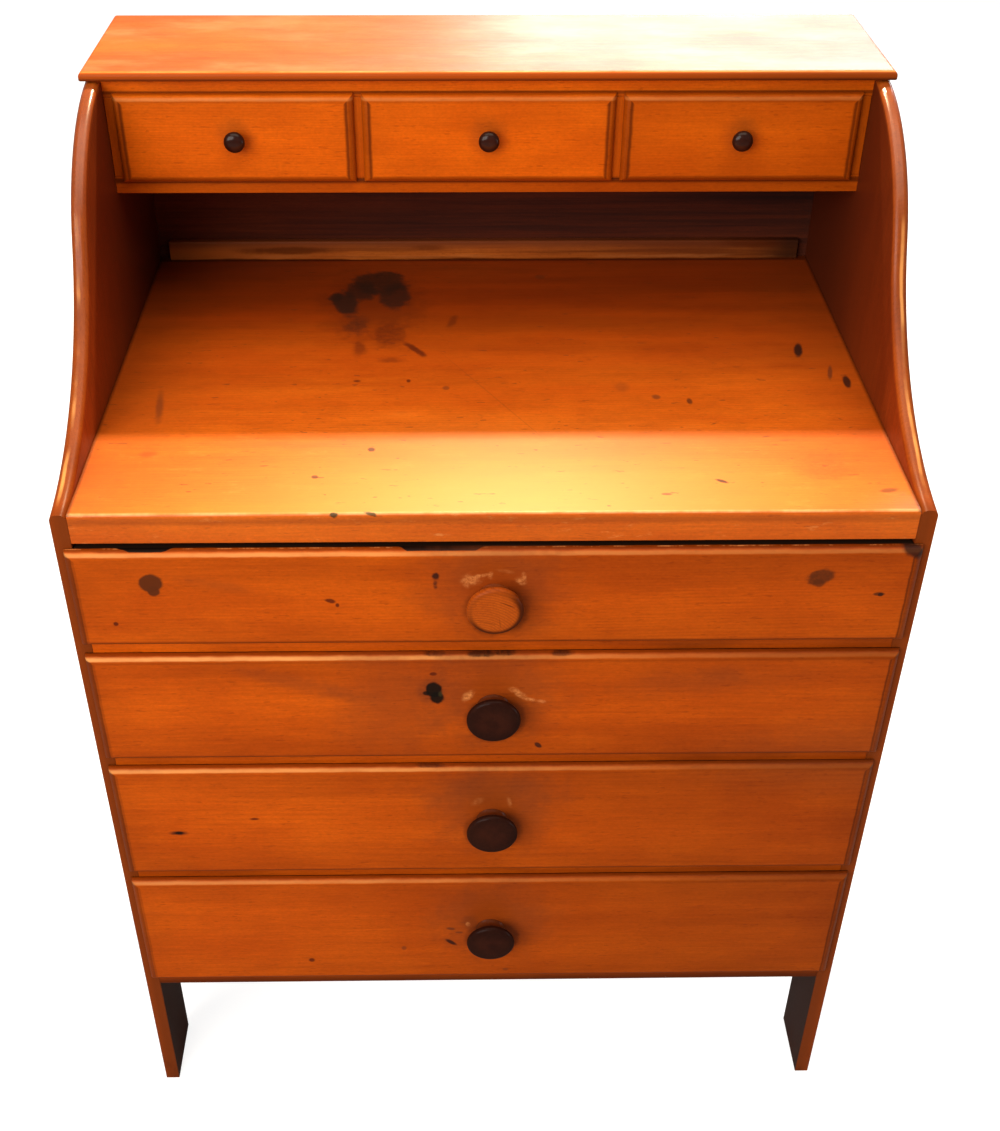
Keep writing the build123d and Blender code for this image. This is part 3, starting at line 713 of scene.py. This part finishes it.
def worktop_field(paint):
    """Colour of the worktop's upper face: a painted golden highlight over the front, painted shade red-brown
    to the back and the ends.
    """
    cloud = paint.noise((4, 7, 7), detail=3, shift=(2, 5, 1))
    drift = cloud * (90 * MM)
    # Painted shade over the back of the worktop
    rear_shade = (paint.y + drift).step(-110 * MM, 210 * MM, 0.1, 0.9)
    streaks = paint.noise((2, 26, 1), detail=4, roughness=0.6, shift=(4, 1, 8)).step(0.35, 0.65)
    paint.lay(paint.mix(streaks, WORKTOP_REAR_SHADE, WORKTOP_REAR_SHADE_STREAK), rear_shade)
    # Painted shade toward the ends
    end_shade = (abs(paint.x) + drift).step(270 * MM, 400 * MM, top=0.4)
    paint.lay(WORKTOP_END_SHADE, end_shade, paint.y.step(-190 * MM, -60 * MM, 0.45))
    mottle = paint.noise((26, 60, 1), detail=5, roughness=0.7, shift=(6, 2, 5))
    paint.darken(mottle.step(0.55, 0.35), 0.09)
    # Painted highlight: a broad golden glow in the middle of the front
    offset = paint.vector("SUBTRACT", paint.point, (10 * MM, CASE_FRONT, 0))
    reach = paint.length(paint.vector("MULTIPLY", offset, (2.4, 6.0, 0)))
    paint.lay(WORKTOP_HIGHLIGHT_GOLD, (reach + cloud * 0.3).step(1.2, 0.15, top=0.7))
    # Painted light: pale mottle over the lit front
    paint.lay(WORKTOP_LIT_PALE, mottle.step(0.56, 0.75, top=0.3), paint.y.step(-40 * MM, -150 * MM))
    paint.lay(BROWN_STAIN, paint.noise((70, 250, 1), roughness=0.6).step(0.67, 0.73, top=0.6))


def worktop_edge(paint, below):
    """The front edge, dark along its middle, with the rubbed arris over it, painted brighter as a highlight.
    """
    front = paint.y.step(CASE_FRONT + 2 * MM, CASE_FRONT + 0.5 * MM)
    paint.lay(paint.multiply(paint.stained(WORKTOP_PINE), WORKTOP_EDGE), front)
    gilt = paint.noise((45, 1, 150), detail=4, roughness=0.7, shift=(3, 8, 2))
    paint.lay(WORN_GOLD_AND_HIGHLIGHT, front, gilt.step(0.6, 0.72), 0.3)
    ragged = paint.jitter((30, 30, 60), 1.5 * MM)
    paint.lay(GRIME_AND_SHADE, front, (below + ragged).near(7 * MM, 5 * MM, 1 * MM, 0.3))
    # Rubbed wear and painted highlight along the front arris
    from_arris = paint.y - CASE_FRONT + paint.jitter((50, 50, 1), 0.8 * MM)
    rub = paint.noise((25, 1, 1), detail=4, roughness=0.7).step(0.3, 0.65, 0.1, 0.6)
    paint.lay(WORKTOP_ARRIS_WEAR_AND_HIGHLIGHT, from_arris.step(4 * MM, 1.5 * MM), below.step(1.6 * MM, 0.6 * MM), rub)


def worktop_material():
    """Painted highlight in front, painted shade at the back, stained, bright along its arris with wear and
    painted highlight, dirty in its joints, painted shade on its underside.
    """
    paint = Pine("worktop_pine", "x", 1.0, WORKTOP_PINE)
    worktop_field(paint)
    below = WORKTOP_HIGH.z - paint.z
    worktop_edge(paint, below)
    rear_joint = paint.y.step(BACK_LOW.y - 13 * MM, BACK_LOW.y - 9 * MM, top=0.75)
    end_joint = abs(paint.x).step(SIDE_LOW.x - 4 * MM, SIDE_LOW.x - 0.5 * MM, top=0.7)
    paint.lay(GRIME_AND_SHADE, paint.most(rear_joint, end_joint), below.step(2 * MM, 1 * MM))
    paint.mark(WORKTOP_MARKS, paint.join(paint.x, paint.y - below, 0.0))
    # Painted shade on the underside
    paint.lay(GRIME_AND_SHADE, paint.z.step(WORKTOP_LOW.z + 1 * MM, WORKTOP_LOW.z))
    return paint.shade()


def in_case_share(paint, inner):
    """1 where a side's inner face is inside the closed case, 0 elsewhere."""
    under_top = paint.z.step(WORKTOP_LOW.z + 1 * MM, WORKTOP_LOW.z - 1 * MM)
    over_bottom = paint.z.step(CASE_UNDERSIDE - 1 * MM, CASE_UNDERSIDE + 1 * MM)
    return inner * under_top * over_bottom * paint.y.step(CASE_FRONT + 8 * MM, CASE_FRONT + 14 * MM)


def ogee_highlight_streak(paint, out):
    """Painted highlight: a pale streak along the ogee-cut edge, broken along its length."""
    drift = paint.jitter((20, 20, 12), 2 * MM)
    streak = (out + drift).near(SIDE_MIDDLE + 1.5 * MM, 2.2 * MM, 0.6 * MM)
    broken = paint.noise((1, 14, 14), detail=3).step(0.38, 0.62)
    return streak * broken * paint.z.step(950 * MM, 900 * MM) * 0.7


def side_material():
    """Shellac outside; inside the recess dark with painted shade to the back and painted light on the left
    side; bare inside the case; painted shade on the feet's inner faces; a painted highlight streak on the
    ogee edge; scuffed at the feet.
    """
    paint = Pine("side_pine", "z", 3.0, CASE_PINE)
    out = abs(paint.x)
    cloud = paint.noise((9, 9, 5), detail=3, shift=(2, 5, 1))

    inner = out.step(SIDE_LOW.x + 1.2 * MM, SIDE_LOW.x + 0.6 * MM)
    # Painted shade deepening toward the back of the recess
    recess_shade = (paint.y + cloud * 0.1).step(-180 * MM, 230 * MM)
    dark = paint.mix(recess_shade, paint.stained(INNER_PINE), SIDE_REAR_SHADE)
    # Painted light: the left side's inner face made lighter
    left = paint.x.step(10 * MM, -10 * MM, 1.0, 1.15)
    paint.lay(paint.multiply(dark, paint.join(left, left, left)), inner)
    paint.lay(paint.stained(BARE_PINE), in_case_share(paint, inner))
    # Painted shade on the inner faces of the feet
    paint.lay(FOOT_SHADE, inner, paint.z.step(CASE_UNDERSIDE + 1 * MM, CASE_UNDERSIDE - 1 * MM), 0.92)

    edge = abs(paint.facing[0]).step(0.97, 0.8) * paint.y.step(SIDE_HIGH.y - 1 * MM, SIDE_HIGH.y - 3 * MM)
    ogee = edge * paint.z.step(WORKTOP_HIGH.z, WORKTOP_HIGH.z + 4 * MM)
    paint.lay(paint.stained(OGEE_PINE), ogee)
    # Painted highlight along the ogee edge
    paint.lay(WORN_GOLD_AND_HIGHLIGHT, ogee, ogee_highlight_streak(paint, out))
    below_recess = paint.z.step(WORKTOP_HIGH.z + 4 * MM, WORKTOP_HIGH.z)
    toward_lip = out.step(SIDE_HIGH.x - 1 * MM, SIDE_HIGH.x - 9 * MM, 0.7, 0.9)
    paint.lay(SIDE_FRONT, edge, below_recess, toward_lip)
    low = (paint.z + cloud * 0.05).step(90 * MM, 20 * MM)
    scuffed = paint.noise((60, 60, 25), detail=4, roughness=0.7).step(0.4, 0.7)
    paint.lay(GRIME_AND_SHADE, low, scuffed, 0.6)
    glossy = paint.z.step(900 * MM, 960 * MM, 0.38, 0.95)
    return paint.shade(coat=ogee * glossy + CASE_PINE.coat)


def rail_material():
    """Shellac on what shows in front, with painted shade to the right, darker toward the bottom, painted
    shade in the joints, bare wood in the case.
    """
    paint = Pine("rail_pine", "x", 4.0, FRONT_PINE)
    depth = paint.y - CASE_FRONT
    cloud = paint.noise((9, 20, 40), detail=3).step(0.45, 0.8, top=0.35)
    # Painted shade toward the right
    paint.lay(GRIME_AND_SHADE, paint.x.step(-150 * MM, 330 * MM, top=0.35) + cloud)
    # Darker toward the bottom
    paint.lay(GRIME_AND_SHADE, paint.z.step(560 * MM, 440 * MM, top=0.3))
    paint.lay(GRIME_AND_SHADE, paint.z.step(CASE_UNDERSIDE + 16 * MM, CASE_UNDERSIDE + 1 * MM, top=0.85))
    # Painted shade on the faces in the joints behind the front
    paint.lay(GRIME_AND_SHADE, depth.step(0.6 * MM, 3 * MM), 0.8)
    paint.lay(paint.stained(BARE_PINE), depth.step(20 * MM, 60 * MM))
    return paint.shade()


def gallery_frame_material(name, grain, seed):
    """Shellac on the gallery's face and underside, painted shade to the right and under the top's nosing,
    dark beside the drawers' lips, bare wood inside it.
    """
    paint = Pine(name, grain, seed, GALLERY_PINE)
    # Painted shade toward the right
    paint.darken(paint.x.step(20 * MM, 330 * MM), 0.22)
    # Painted shadow under the top board's nosing
    paint.lay(GRIME_AND_SHADE, paint.z.step(TOP_LOW.z - 3.5 * MM, TOP_LOW.z - 0.5 * MM, top=0.85))
    depth = paint.y - GALLERY_LOW.y
    face = depth.step(1.2 * MM, 0.4 * MM)
    lip_low, lip_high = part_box("gallery_drawer_left_front")
    # Dark along the drawers' lips
    under_lips = paint.z.near(lip_low.z, 4 * MM, 1 * MM, 0.85)
    over_lips = paint.z.near(lip_high.z, 2 * MM, 0.8 * MM, 0.75)
    paint.lay(GRIME_AND_SHADE, face, paint.most(under_lips, over_lips))
    paint.lay(GRIME_AND_SHADE, face, paint.z.step(lip_high.z, lip_high.z - 2 * MM), 0.4)
    inside = depth.step(4 * MM, 10 * MM)
    underside = paint.z.step(GALLERY_LOW.z + 1.2 * MM, GALLERY_LOW.z + 0.2 * MM)
    paint.lay(paint.stained(BARE_PINE), inside)
    paint.lay(paint.stained(INNER_PINE), inside, underside)
    return paint.shade()


def nail_marks():
    """The nails of the back boards, stained round at the case's sides."""
    joints = (
        BACK_LOW.z, CASE_UNDERSIDE + 60 * MM, 430 * MM, 640 * MM,
        WORKTOP_LOW.z + 14 * MM, 830 * MM, 965 * MM,
    )
    nail = Mark(0, 0, 4.5, 3.2, IRON, 0.95, 0.15, 0.2)
    stain = Mark(0, 0, 12, 10, BROWN_STAIN, 0.4, 0.6, 0.6)
    marks = []
    for height in joints:
        for across in (-345, 345):
            marks.append(replace(nail, across=across, along=height / MM + 12))
            marks.append(replace(stain, across=across, along=height / MM + 11))
    for across in (-255, -90, 80, 250):
        for height in (741, 898):
            marks.append(replace(nail, across=across, along=height))
    return marks


def back_board_material():
    """Painted shade inside the recess, in streaks deeper to the right and darkest under the gallery at the
    right; grey-brown and bare behind, with the dots of its nails.
    """
    paint = Pine("back_board_pine", "x", 6.0, AGED_PINE)
    paint.mark(nail_marks())
    aged = paint.base
    paint.base = paint.stained(INNER_PINE)
    streaks = paint.noise((3, 1, 120), detail=4, roughness=0.65).step(0.35, 0.7, 0.9, 0.66)
    # Painted shade in streaks, deeper to the right
    paint.lay(WALL_SHADE, streaks, paint.x.step(-330 * MM, -60 * MM, 0.78))
    # Painted shade in the upper right corner, under the gallery
    paint.lay(WALL_CORNER_SHADE, paint.x.step(120 * MM, 320 * MM), paint.z.step(785 * MM, 850 * MM), 0.75)
    paint.lay(aged, paint.y.step(BACK_LOW.y + 1 * MM, BACK_LOW.y + 3 * MM))
    return paint.shade()


def ledge_material():
    """Brown with painted light at its left end and painted shade fading up into the dark, toward the right
    and at its right end; rubbed along its lower edge, with long dark stains.
    """
    paint = Pine("ledge_pine", "x", 7.0, LEDGE_PINE)
    low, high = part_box("back_ledge")
    above = paint.z - low.z + paint.jitter((25, 25, 90), 2.2 * MM)
    streaks = paint.noise((5, 1, 190), detail=3, roughness=0.6)
    paint.lay(GRIME_AND_SHADE, streaks.step(0.4, 0.65, top=0.55))
    # Painted light toward the left end
    paint.lay(LEDGE_LEFT_LIGHT, paint.x.step(-60 * MM, -320 * MM, top=0.85))
    # Painted shade fading upward
    paint.lay(LEDGE_TOP_SHADE, above.step(8 * MM, 20 * MM, top=0.85))
    # Painted shade toward the right
    paint.lay(LEDGE_RIGHT_SHADE, paint.x.step(-60 * MM, 250 * MM, top=0.6))
    # Painted shade at the right end
    paint.lay(LEDGE_END_SHADE, paint.x.step(high.x - 60 * MM, high.x - 5 * MM, top=0.85))
    rub = paint.noise((14, 14, 60), detail=4, roughness=0.65).step(0.35, 0.65)
    paint.lay(WORN_PALE, above.near(4 * MM, 3 * MM, 0.5 * MM), rub, 0.16)
    paint.lay(GRIME_AND_SHADE, above.step(2.2 * MM, 0.6 * MM, top=0.85))
    paint.mark(LEDGE_MARKS)
    return paint.shade()


def top_board_material():
    """The gallery's top: glossy in patches, golden along its arris with wear and painted highlight, painted
    shade on the nosing and darker to the right, bare beneath.
    """
    paint = Pine("top_board_pine", "x", 2.0, TOP_PINE)
    patches = paint.noise((7, 16, 1), detail=5, roughness=0.65, shift=(1, 9, 4))
    paint.lay(TOP_PALE, patches.step(0.48, 0.72, top=0.3))
    paint.darken(patches.step(0.46, 0.3), 0.2)
    below = TOP_HIGH.z - paint.z
    depth = paint.y - TOP_LOW.y
    nose = depth.step(6 * MM, 3 * MM)
    paint.lay(TOP_NOSING, nose)
    # Painted shade over the nosing, deepest along its lower part
    paint.lay(GRIME_AND_SHADE, nose, below.step(0.8 * MM, 2.2 * MM, top=0.4))
    paint.lay(GRIME_AND_SHADE, nose, below.step(4.5 * MM, 6.5 * MM, top=0.75))
    # Painted shade toward the right
    paint.darken(nose * paint.x.step(0.0, 340 * MM), 0.35)
    rub = paint.noise((12, 12, 60), detail=4, roughness=0.65).step(0.2, 0.6)
    # Rubbed wear and painted highlight along the arris
    paint.lay(WORN_GOLD_AND_HIGHLIGHT, below.step(1.1 * MM, 0.4 * MM), depth.step(4.5 * MM, 2.5 * MM), rub, 0.6)
    paint.lay(paint.stained(BARE_PINE), below.step(7 * MM, 7.6 * MM), depth.step(10 * MM, 14 * MM))
    coat = patches.step(0.3, 0.7, 0.6, 1.2) * TOP_PINE.coat
    return paint.shade(coat=coat * (1.0 - nose))


def dress_case():
    dress("worktop", worktop_material())
    dress("top_board", top_board_material())
    sides = side_material()
    for node in ("left_side", "right_side"):
        dress(node, sides)
    rails = rail_material()
    for node in ("case_bottom", "drawer_rail_1", "drawer_rail_2", "drawer_rail_3"):
        dress(node, rails)
    level = gallery_frame_material("gallery_level_pine", "x", 4.6)
    for node in ("gallery_floor", "gallery_top_rail"):
        dress(node, level)
    upright = gallery_frame_material("gallery_upright_pine", "z", 5.0)
    for node in ("gallery_end_left", "gallery_end_right", "gallery_divider_left", "gallery_divider_right"):
        dress(node, upright)
    dress("back_boards", back_board_material())
    dress("back_ledge", ledge_material())
    dress("drawer_runners", Pine("runner_pine", "y", 8.0, BARE_PINE).shade())


def dress_drawers():
    along_x = Pine("drawer_back_pine", "x", 9.0, BARE_PINE).shade()
    along_y = Pine("drawer_side_pine", "y", 10.0, BARE_PINE).shade()
    for index, drawer in enumerate(LARGE_DRAWERS + SMALL_DRAWERS):
        small = drawer in SMALL_DRAWERS
        finish = GALLERY_PINE if small else FRONT_PINE
        wear = LIP_WEAR.get(drawer, SMALL_LIP)
        marks = FRONT_MARKS.get(drawer, [])
        seed = 11.0 + 1.7 * index
        dress(drawer + "_front", drawer_front_material(drawer, finish, seed, wear, marks))
        for part in ("_back", "_bottom"):
            dress(drawer + part, along_x, arris=FINE_ARRIS)
        for part in ("_left_side", "_right_side"):
            dress(drawer + part, along_y, arris=FINE_ARRIS)


# ---- Turned knobs ----


@dataclass(frozen=True)
class KnobShape:
    """The turned line from collar to crown: its radius and height, as shares of head radius and length."""

    turned: tuple
    steps: int = 5  # rings between two of those points
    around: int = 96


LARGE_KNOB = KnobShape((
    (0.62, 0.0), (0.565, 0.08), (0.54, 0.18), (0.57, 0.33), (0.68, 0.48), (0.86, 0.6), (0.975, 0.7),
    (1.0, 0.79), (0.975, 0.88), (0.9, 0.945), (0.74, 0.975), (0.45, 0.993), (0.0, 1.0),
))
SMALL_KNOB = KnobShape((
    (0.6, 0.0), (0.5, 0.07), (0.47, 0.18), (0.55, 0.3), (0.78, 0.41), (0.95, 0.53), (1.0, 0.65),
    (0.97, 0.77), (0.84, 0.88), (0.6, 0.955), (0.32, 0.99), (0.0, 1.0),
))


def spline(points, steps):
    """Points on a smooth line through points."""
    padded = [points[0], *points, points[-1]]
    line = []
    for before, start, end, after in zip(padded, padded[1:], padded[2:], padded[3:]):
        for index in range(steps):
            t = index / steps
            line.append(tuple(
                0.5 * (
                    2 * b + (c - a) * t + (2 * a - 5 * b + 4 * c - d) * t**2
                    + (3 * b - a - 3 * c + d) * t**3
                )
                for a, b, c, d in zip(before, start, end, after)
            ))
    line.append(points[-1])
    return line


def ring(mesh, centre, radius, y, around):
    """Vertices on a circle round the knob's axis, or one on the axis."""
    if radius < ON_AXIS:
        return [mesh.verts.new((centre.x, y, centre.z))]
    angles = [2 * math.pi * index / around for index in range(around)]
    places = [(centre.x + radius * math.sin(a), y, centre.z + radius * math.cos(a)) for a in angles]
    return [mesh.verts.new(place) for place in places]


def turned_knob(name, node, face_y, material, shape):
    """A lathe-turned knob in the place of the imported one, with its tenon."""
    low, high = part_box(node)
    head = (high.x - low.x) / 2
    length = face_y - low.y
    tenon = TENON_SHARE * head
    turned = spline(shape.turned, shape.steps)
    line = [(0.0, high.y), (tenon, high.y), (tenon, face_y)]
    line += [(radius * head, face_y - height * length) for radius, height in turned]
    mesh = bmesh.new()
    rings = [ring(mesh, (low + high) / 2, radius, y, shape.around) for radius, y in line]
    for inner, outer in zip(rings, rings[1:]):
        for index in range(shape.around):
            after = (index + 1) % shape.around
            corners = [
                inner[index % len(inner)], inner[after % len(inner)],
                outer[after % len(outer)], outer[index % len(outer)],
            ]
            mesh.faces.new(list(dict.fromkeys(corners)))
    bmesh.ops.recalc_face_normals(mesh, faces=mesh.faces)
    data = bpy.data.meshes.new(name)
    mesh.to_mesh(data)
    mesh.free()
    data.shade_smooth()
    data.materials.append(material)
    piece = bpy.data.objects.new(name, data)
    bpy.context.scene.collection.objects.link(piece)
    return piece


def from_axis(paint, centre):
    """How far a point is from a line through centre that runs to the back."""
    offset = paint.vector("SUBTRACT", paint.point, tuple(centre))
    return paint.length(paint.vector("MULTIPLY", offset, (1.0, 0.0, 1.0)))


def dark_knob_material(drawer):
    """Nearly black stain, rubbed reddish inside the rim and on the neck."""
    low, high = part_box(drawer + "_knob")
    head = (high.x - low.x) / 2
    finish = replace(DARK_KNOB_WOOD, coat=0.4 if drawer in SMALL_DRAWERS else 0.06)
    paint = Pine(drawer + "_knob_wood", "y", 20.0, finish)
    inside = from_axis(paint, (low + high) / 2).step(head, 0.35 * head)
    uneven = paint.noise((90, 90, 90), detail=3, shift=(1, 2, 3)).step(0.3, 0.7, 0.3)
    paint.lay(KNOB_RUBBED, inside, uneven, 0.4)
    paint.lay(KNOB_NECK, (paint.y - low.y).step(0.5 * head, 0.75 * head, top=0.85))
    return paint.shade()


def natural_knob_material():
    """End-grain arcs and drying cracks in the crown, with painted shade on the lower right of the rim, and
    darker on the neck.
    """
    low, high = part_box("drawer_1_knob")
    centre = (low + high) / 2
    across, along = centre.x / MM, centre.z / MM
    paint = Pine("natural_knob_wood", "y", 21.0, NATURAL_KNOB_WOOD)
    heart = (centre.x - 12 * MM, 0.0, centre.z - 30 * MM)
    wobble = paint.jitter((120, 120, 120), 0.6 * MM)
    arcs = paint.math("FRACT", (from_axis(paint, heart) + wobble) * ARCS_PER_METRE)
    paint.lay(KNOB_LATEWOOD, arcs.step(0.4, 0.85), arcs.step(1.0, 0.9), 0.45)
    paint.mark([
        Mark(across + 10, along + 9, 12, 1.0, GRIME_AND_SHADE, 0.7, 0.5, 0.7, -26),
        Mark(across - 7, along - 9, 18, 0.8, GRIME_AND_SHADE, 0.4, 0.5, 0.7, -16),
        Mark(across + 4, along - 10, 0.9, 8, GRIME_AND_SHADE, 0.4, 0.5, 0.6, 5),
    ])
    # Painted shade on the rim's lower right side; the neck is darker
    rim = from_axis(paint, centre).step(17 * MM, 21 * MM)
    down_right = (paint.x - centre.x) * 0.6 + (paint.z - centre.z) * -0.8
    lower = down_right.step(-16 * MM, 8 * MM, 0.3)
    neck = (paint.y - low.y).step(5 * MM, 14 * MM) * 0.7
    paint.lay(GRIME_AND_SHADE, paint.most(rim * lower, neck))
    return paint.shade()


def make_knobs():
    for drawer in LARGE_DRAWERS + SMALL_DRAWERS:
        node = drawer + "_knob"
        face_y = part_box(drawer + "_front")[0].y
        bare = drawer == "drawer_1"
        shape = SMALL_KNOB if drawer in SMALL_DRAWERS else LARGE_KNOB
        wood = natural_knob_material() if bare else dark_knob_material(drawer)
        piece = turned_knob(drawer + "_turned_knob", node, face_y, wood, shape)
        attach(piece, drawer)
        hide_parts(node)


# ---- Floor, light and camera ----


def make_floor():
    """A pale floor that the camera sees as white, apart from the desk's soft shadow."""
    paint = Paint("studio_floor")
    seen = Value(paint, paint.node("LightPath").outputs["Is Camera Ray"])
    diffuse = paint.node("BsdfDiffuse")
    paint.put(diffuse.inputs["Color"], paint.mix(seen, (0.3, 0.3, 0.3), (0.5, 0.5, 0.5)))
    glow = paint.node("Emission")
    paint.put(glow.inputs["Strength"], seen * 0.84)
    both = paint.node("AddShader", diffuse.outputs[0], glow.outputs[0])
    paint.put(paint.node("OutputMaterial").inputs["Surface"], both.outputs[0])
    bpy.ops.mesh.primitive_plane_add(size=60, location=(0, 0, CAD_BOX[0][2]))
    floor = bpy.context.object
    floor.name = "studio_floor"
    floor.data.materials.append(paint.material)


def make_world():
    world = bpy.data.worlds.new("studio")
    bpy.context.scene.world = world
    world.use_nodes = True
    tree = world.node_tree
    tree.nodes.clear()
    path = tree.nodes.new("ShaderNodeLightPath")
    strength = tree.nodes.new("ShaderNodeMapRange")
    strength.inputs["To Min"].default_value = 0.24
    strength.inputs["To Max"].default_value = 1.0
    ground = tree.nodes.new("ShaderNodeBackground")
    ground.inputs["Color"].default_value = (1.0, 1.0, 1.0, 1.0)
    output = tree.nodes.new("ShaderNodeOutputWorld")
    tree.links.new(path.outputs["Is Camera Ray"], strength.inputs["Value"])
    tree.links.new(strength.outputs[0], ground.inputs["Strength"])
    tree.links.new(ground.outputs[0], output.inputs["Surface"])


def lamp(name, place, target, size, power, tint=(1.0, 1.0, 1.0)):
    """A soft rectangular lamp that the camera doesn't see."""
    light = bpy.data.lights.new(name, "AREA")
    light.shape = "RECTANGLE"
    light.size, light.size_y = size
    light.energy = power
    light.color = tint
    made = bpy.data.objects.new(name, light)
    made.location = place
    made.rotation_euler = (Vector(target) - Vector(place)).to_track_quat("-Z", "Y").to_euler()
    made.visible_camera = False
    bpy.context.scene.collection.objects.link(made)


def make_lamps():
    lamp("ceiling_lamp", (0.12, 1.48, 2.67), (0.0, -0.1, 0.757), (0.09, 0.09), 88, (1.0, 0.87, 0.55))
    lamp("ceiling_bounce", (0.0, -0.5, 2.85), (0.0, -0.3, 0.757), (2.6, 2.2), 40, (1.0, 0.9, 0.72))
    lamp("front_fill", (-1.6, -2.4, 1.9), (0.0, -0.1, 0.5), (2.4, 1.8), 78, (1.0, 0.96, 0.9))
    lamp("far_wall", (1.15, 3.1, 1.89), (0.2, 0.15, 1.0), (2.3, 1.0), 56, (1.0, 0.97, 1.0))
    lamp("right_window", (2.3, -0.8, 0.5), (0.36, -0.1, 0.8), (0.35, 1.2), 10)


def make_camera():
    image = (1000, 1131)
    focal_pixels = 1447.27
    principal_point = (476.70, 564.89)
    sensor = 36.0
    pitch, yaw, roll = (math.radians(angle) for angle in (36.779, 0.962, 0.223))
    forward = Vector((math.sin(yaw) * math.cos(pitch), math.cos(yaw) * math.cos(pitch), -math.sin(pitch)))
    level = Vector((math.cos(yaw), -math.sin(yaw), 0))
    upright = level.cross(forward)
    right = math.cos(roll) * level + math.sin(roll) * upright
    up = math.cos(roll) * upright - math.sin(roll) * level
    place = Vector((-0.0307, -1.17805, 1.41451))
    data = bpy.data.cameras.new("photo_camera")
    data.sensor_width = sensor
    data.lens = focal_pixels * sensor / max(image)
    data.shift_x = (image[0] / 2 - principal_point[0]) / max(image)
    data.shift_y = (principal_point[1] - image[1] / 2) / max(image)
    camera = bpy.data.objects.new("photo_camera", data)
    turn = Matrix((right, up, -forward)).transposed()
    camera.matrix_world = Matrix.Translation(place) @ turn.to_4x4()
    bpy.context.scene.collection.objects.link(camera)
    bpy.context.scene.camera = camera


dress_case()
dress_drawers()
make_knobs()
make_floor()
make_world()
make_lamps()
make_camera()
bpy.context.scene.view_settings.view_transform = "Standard"
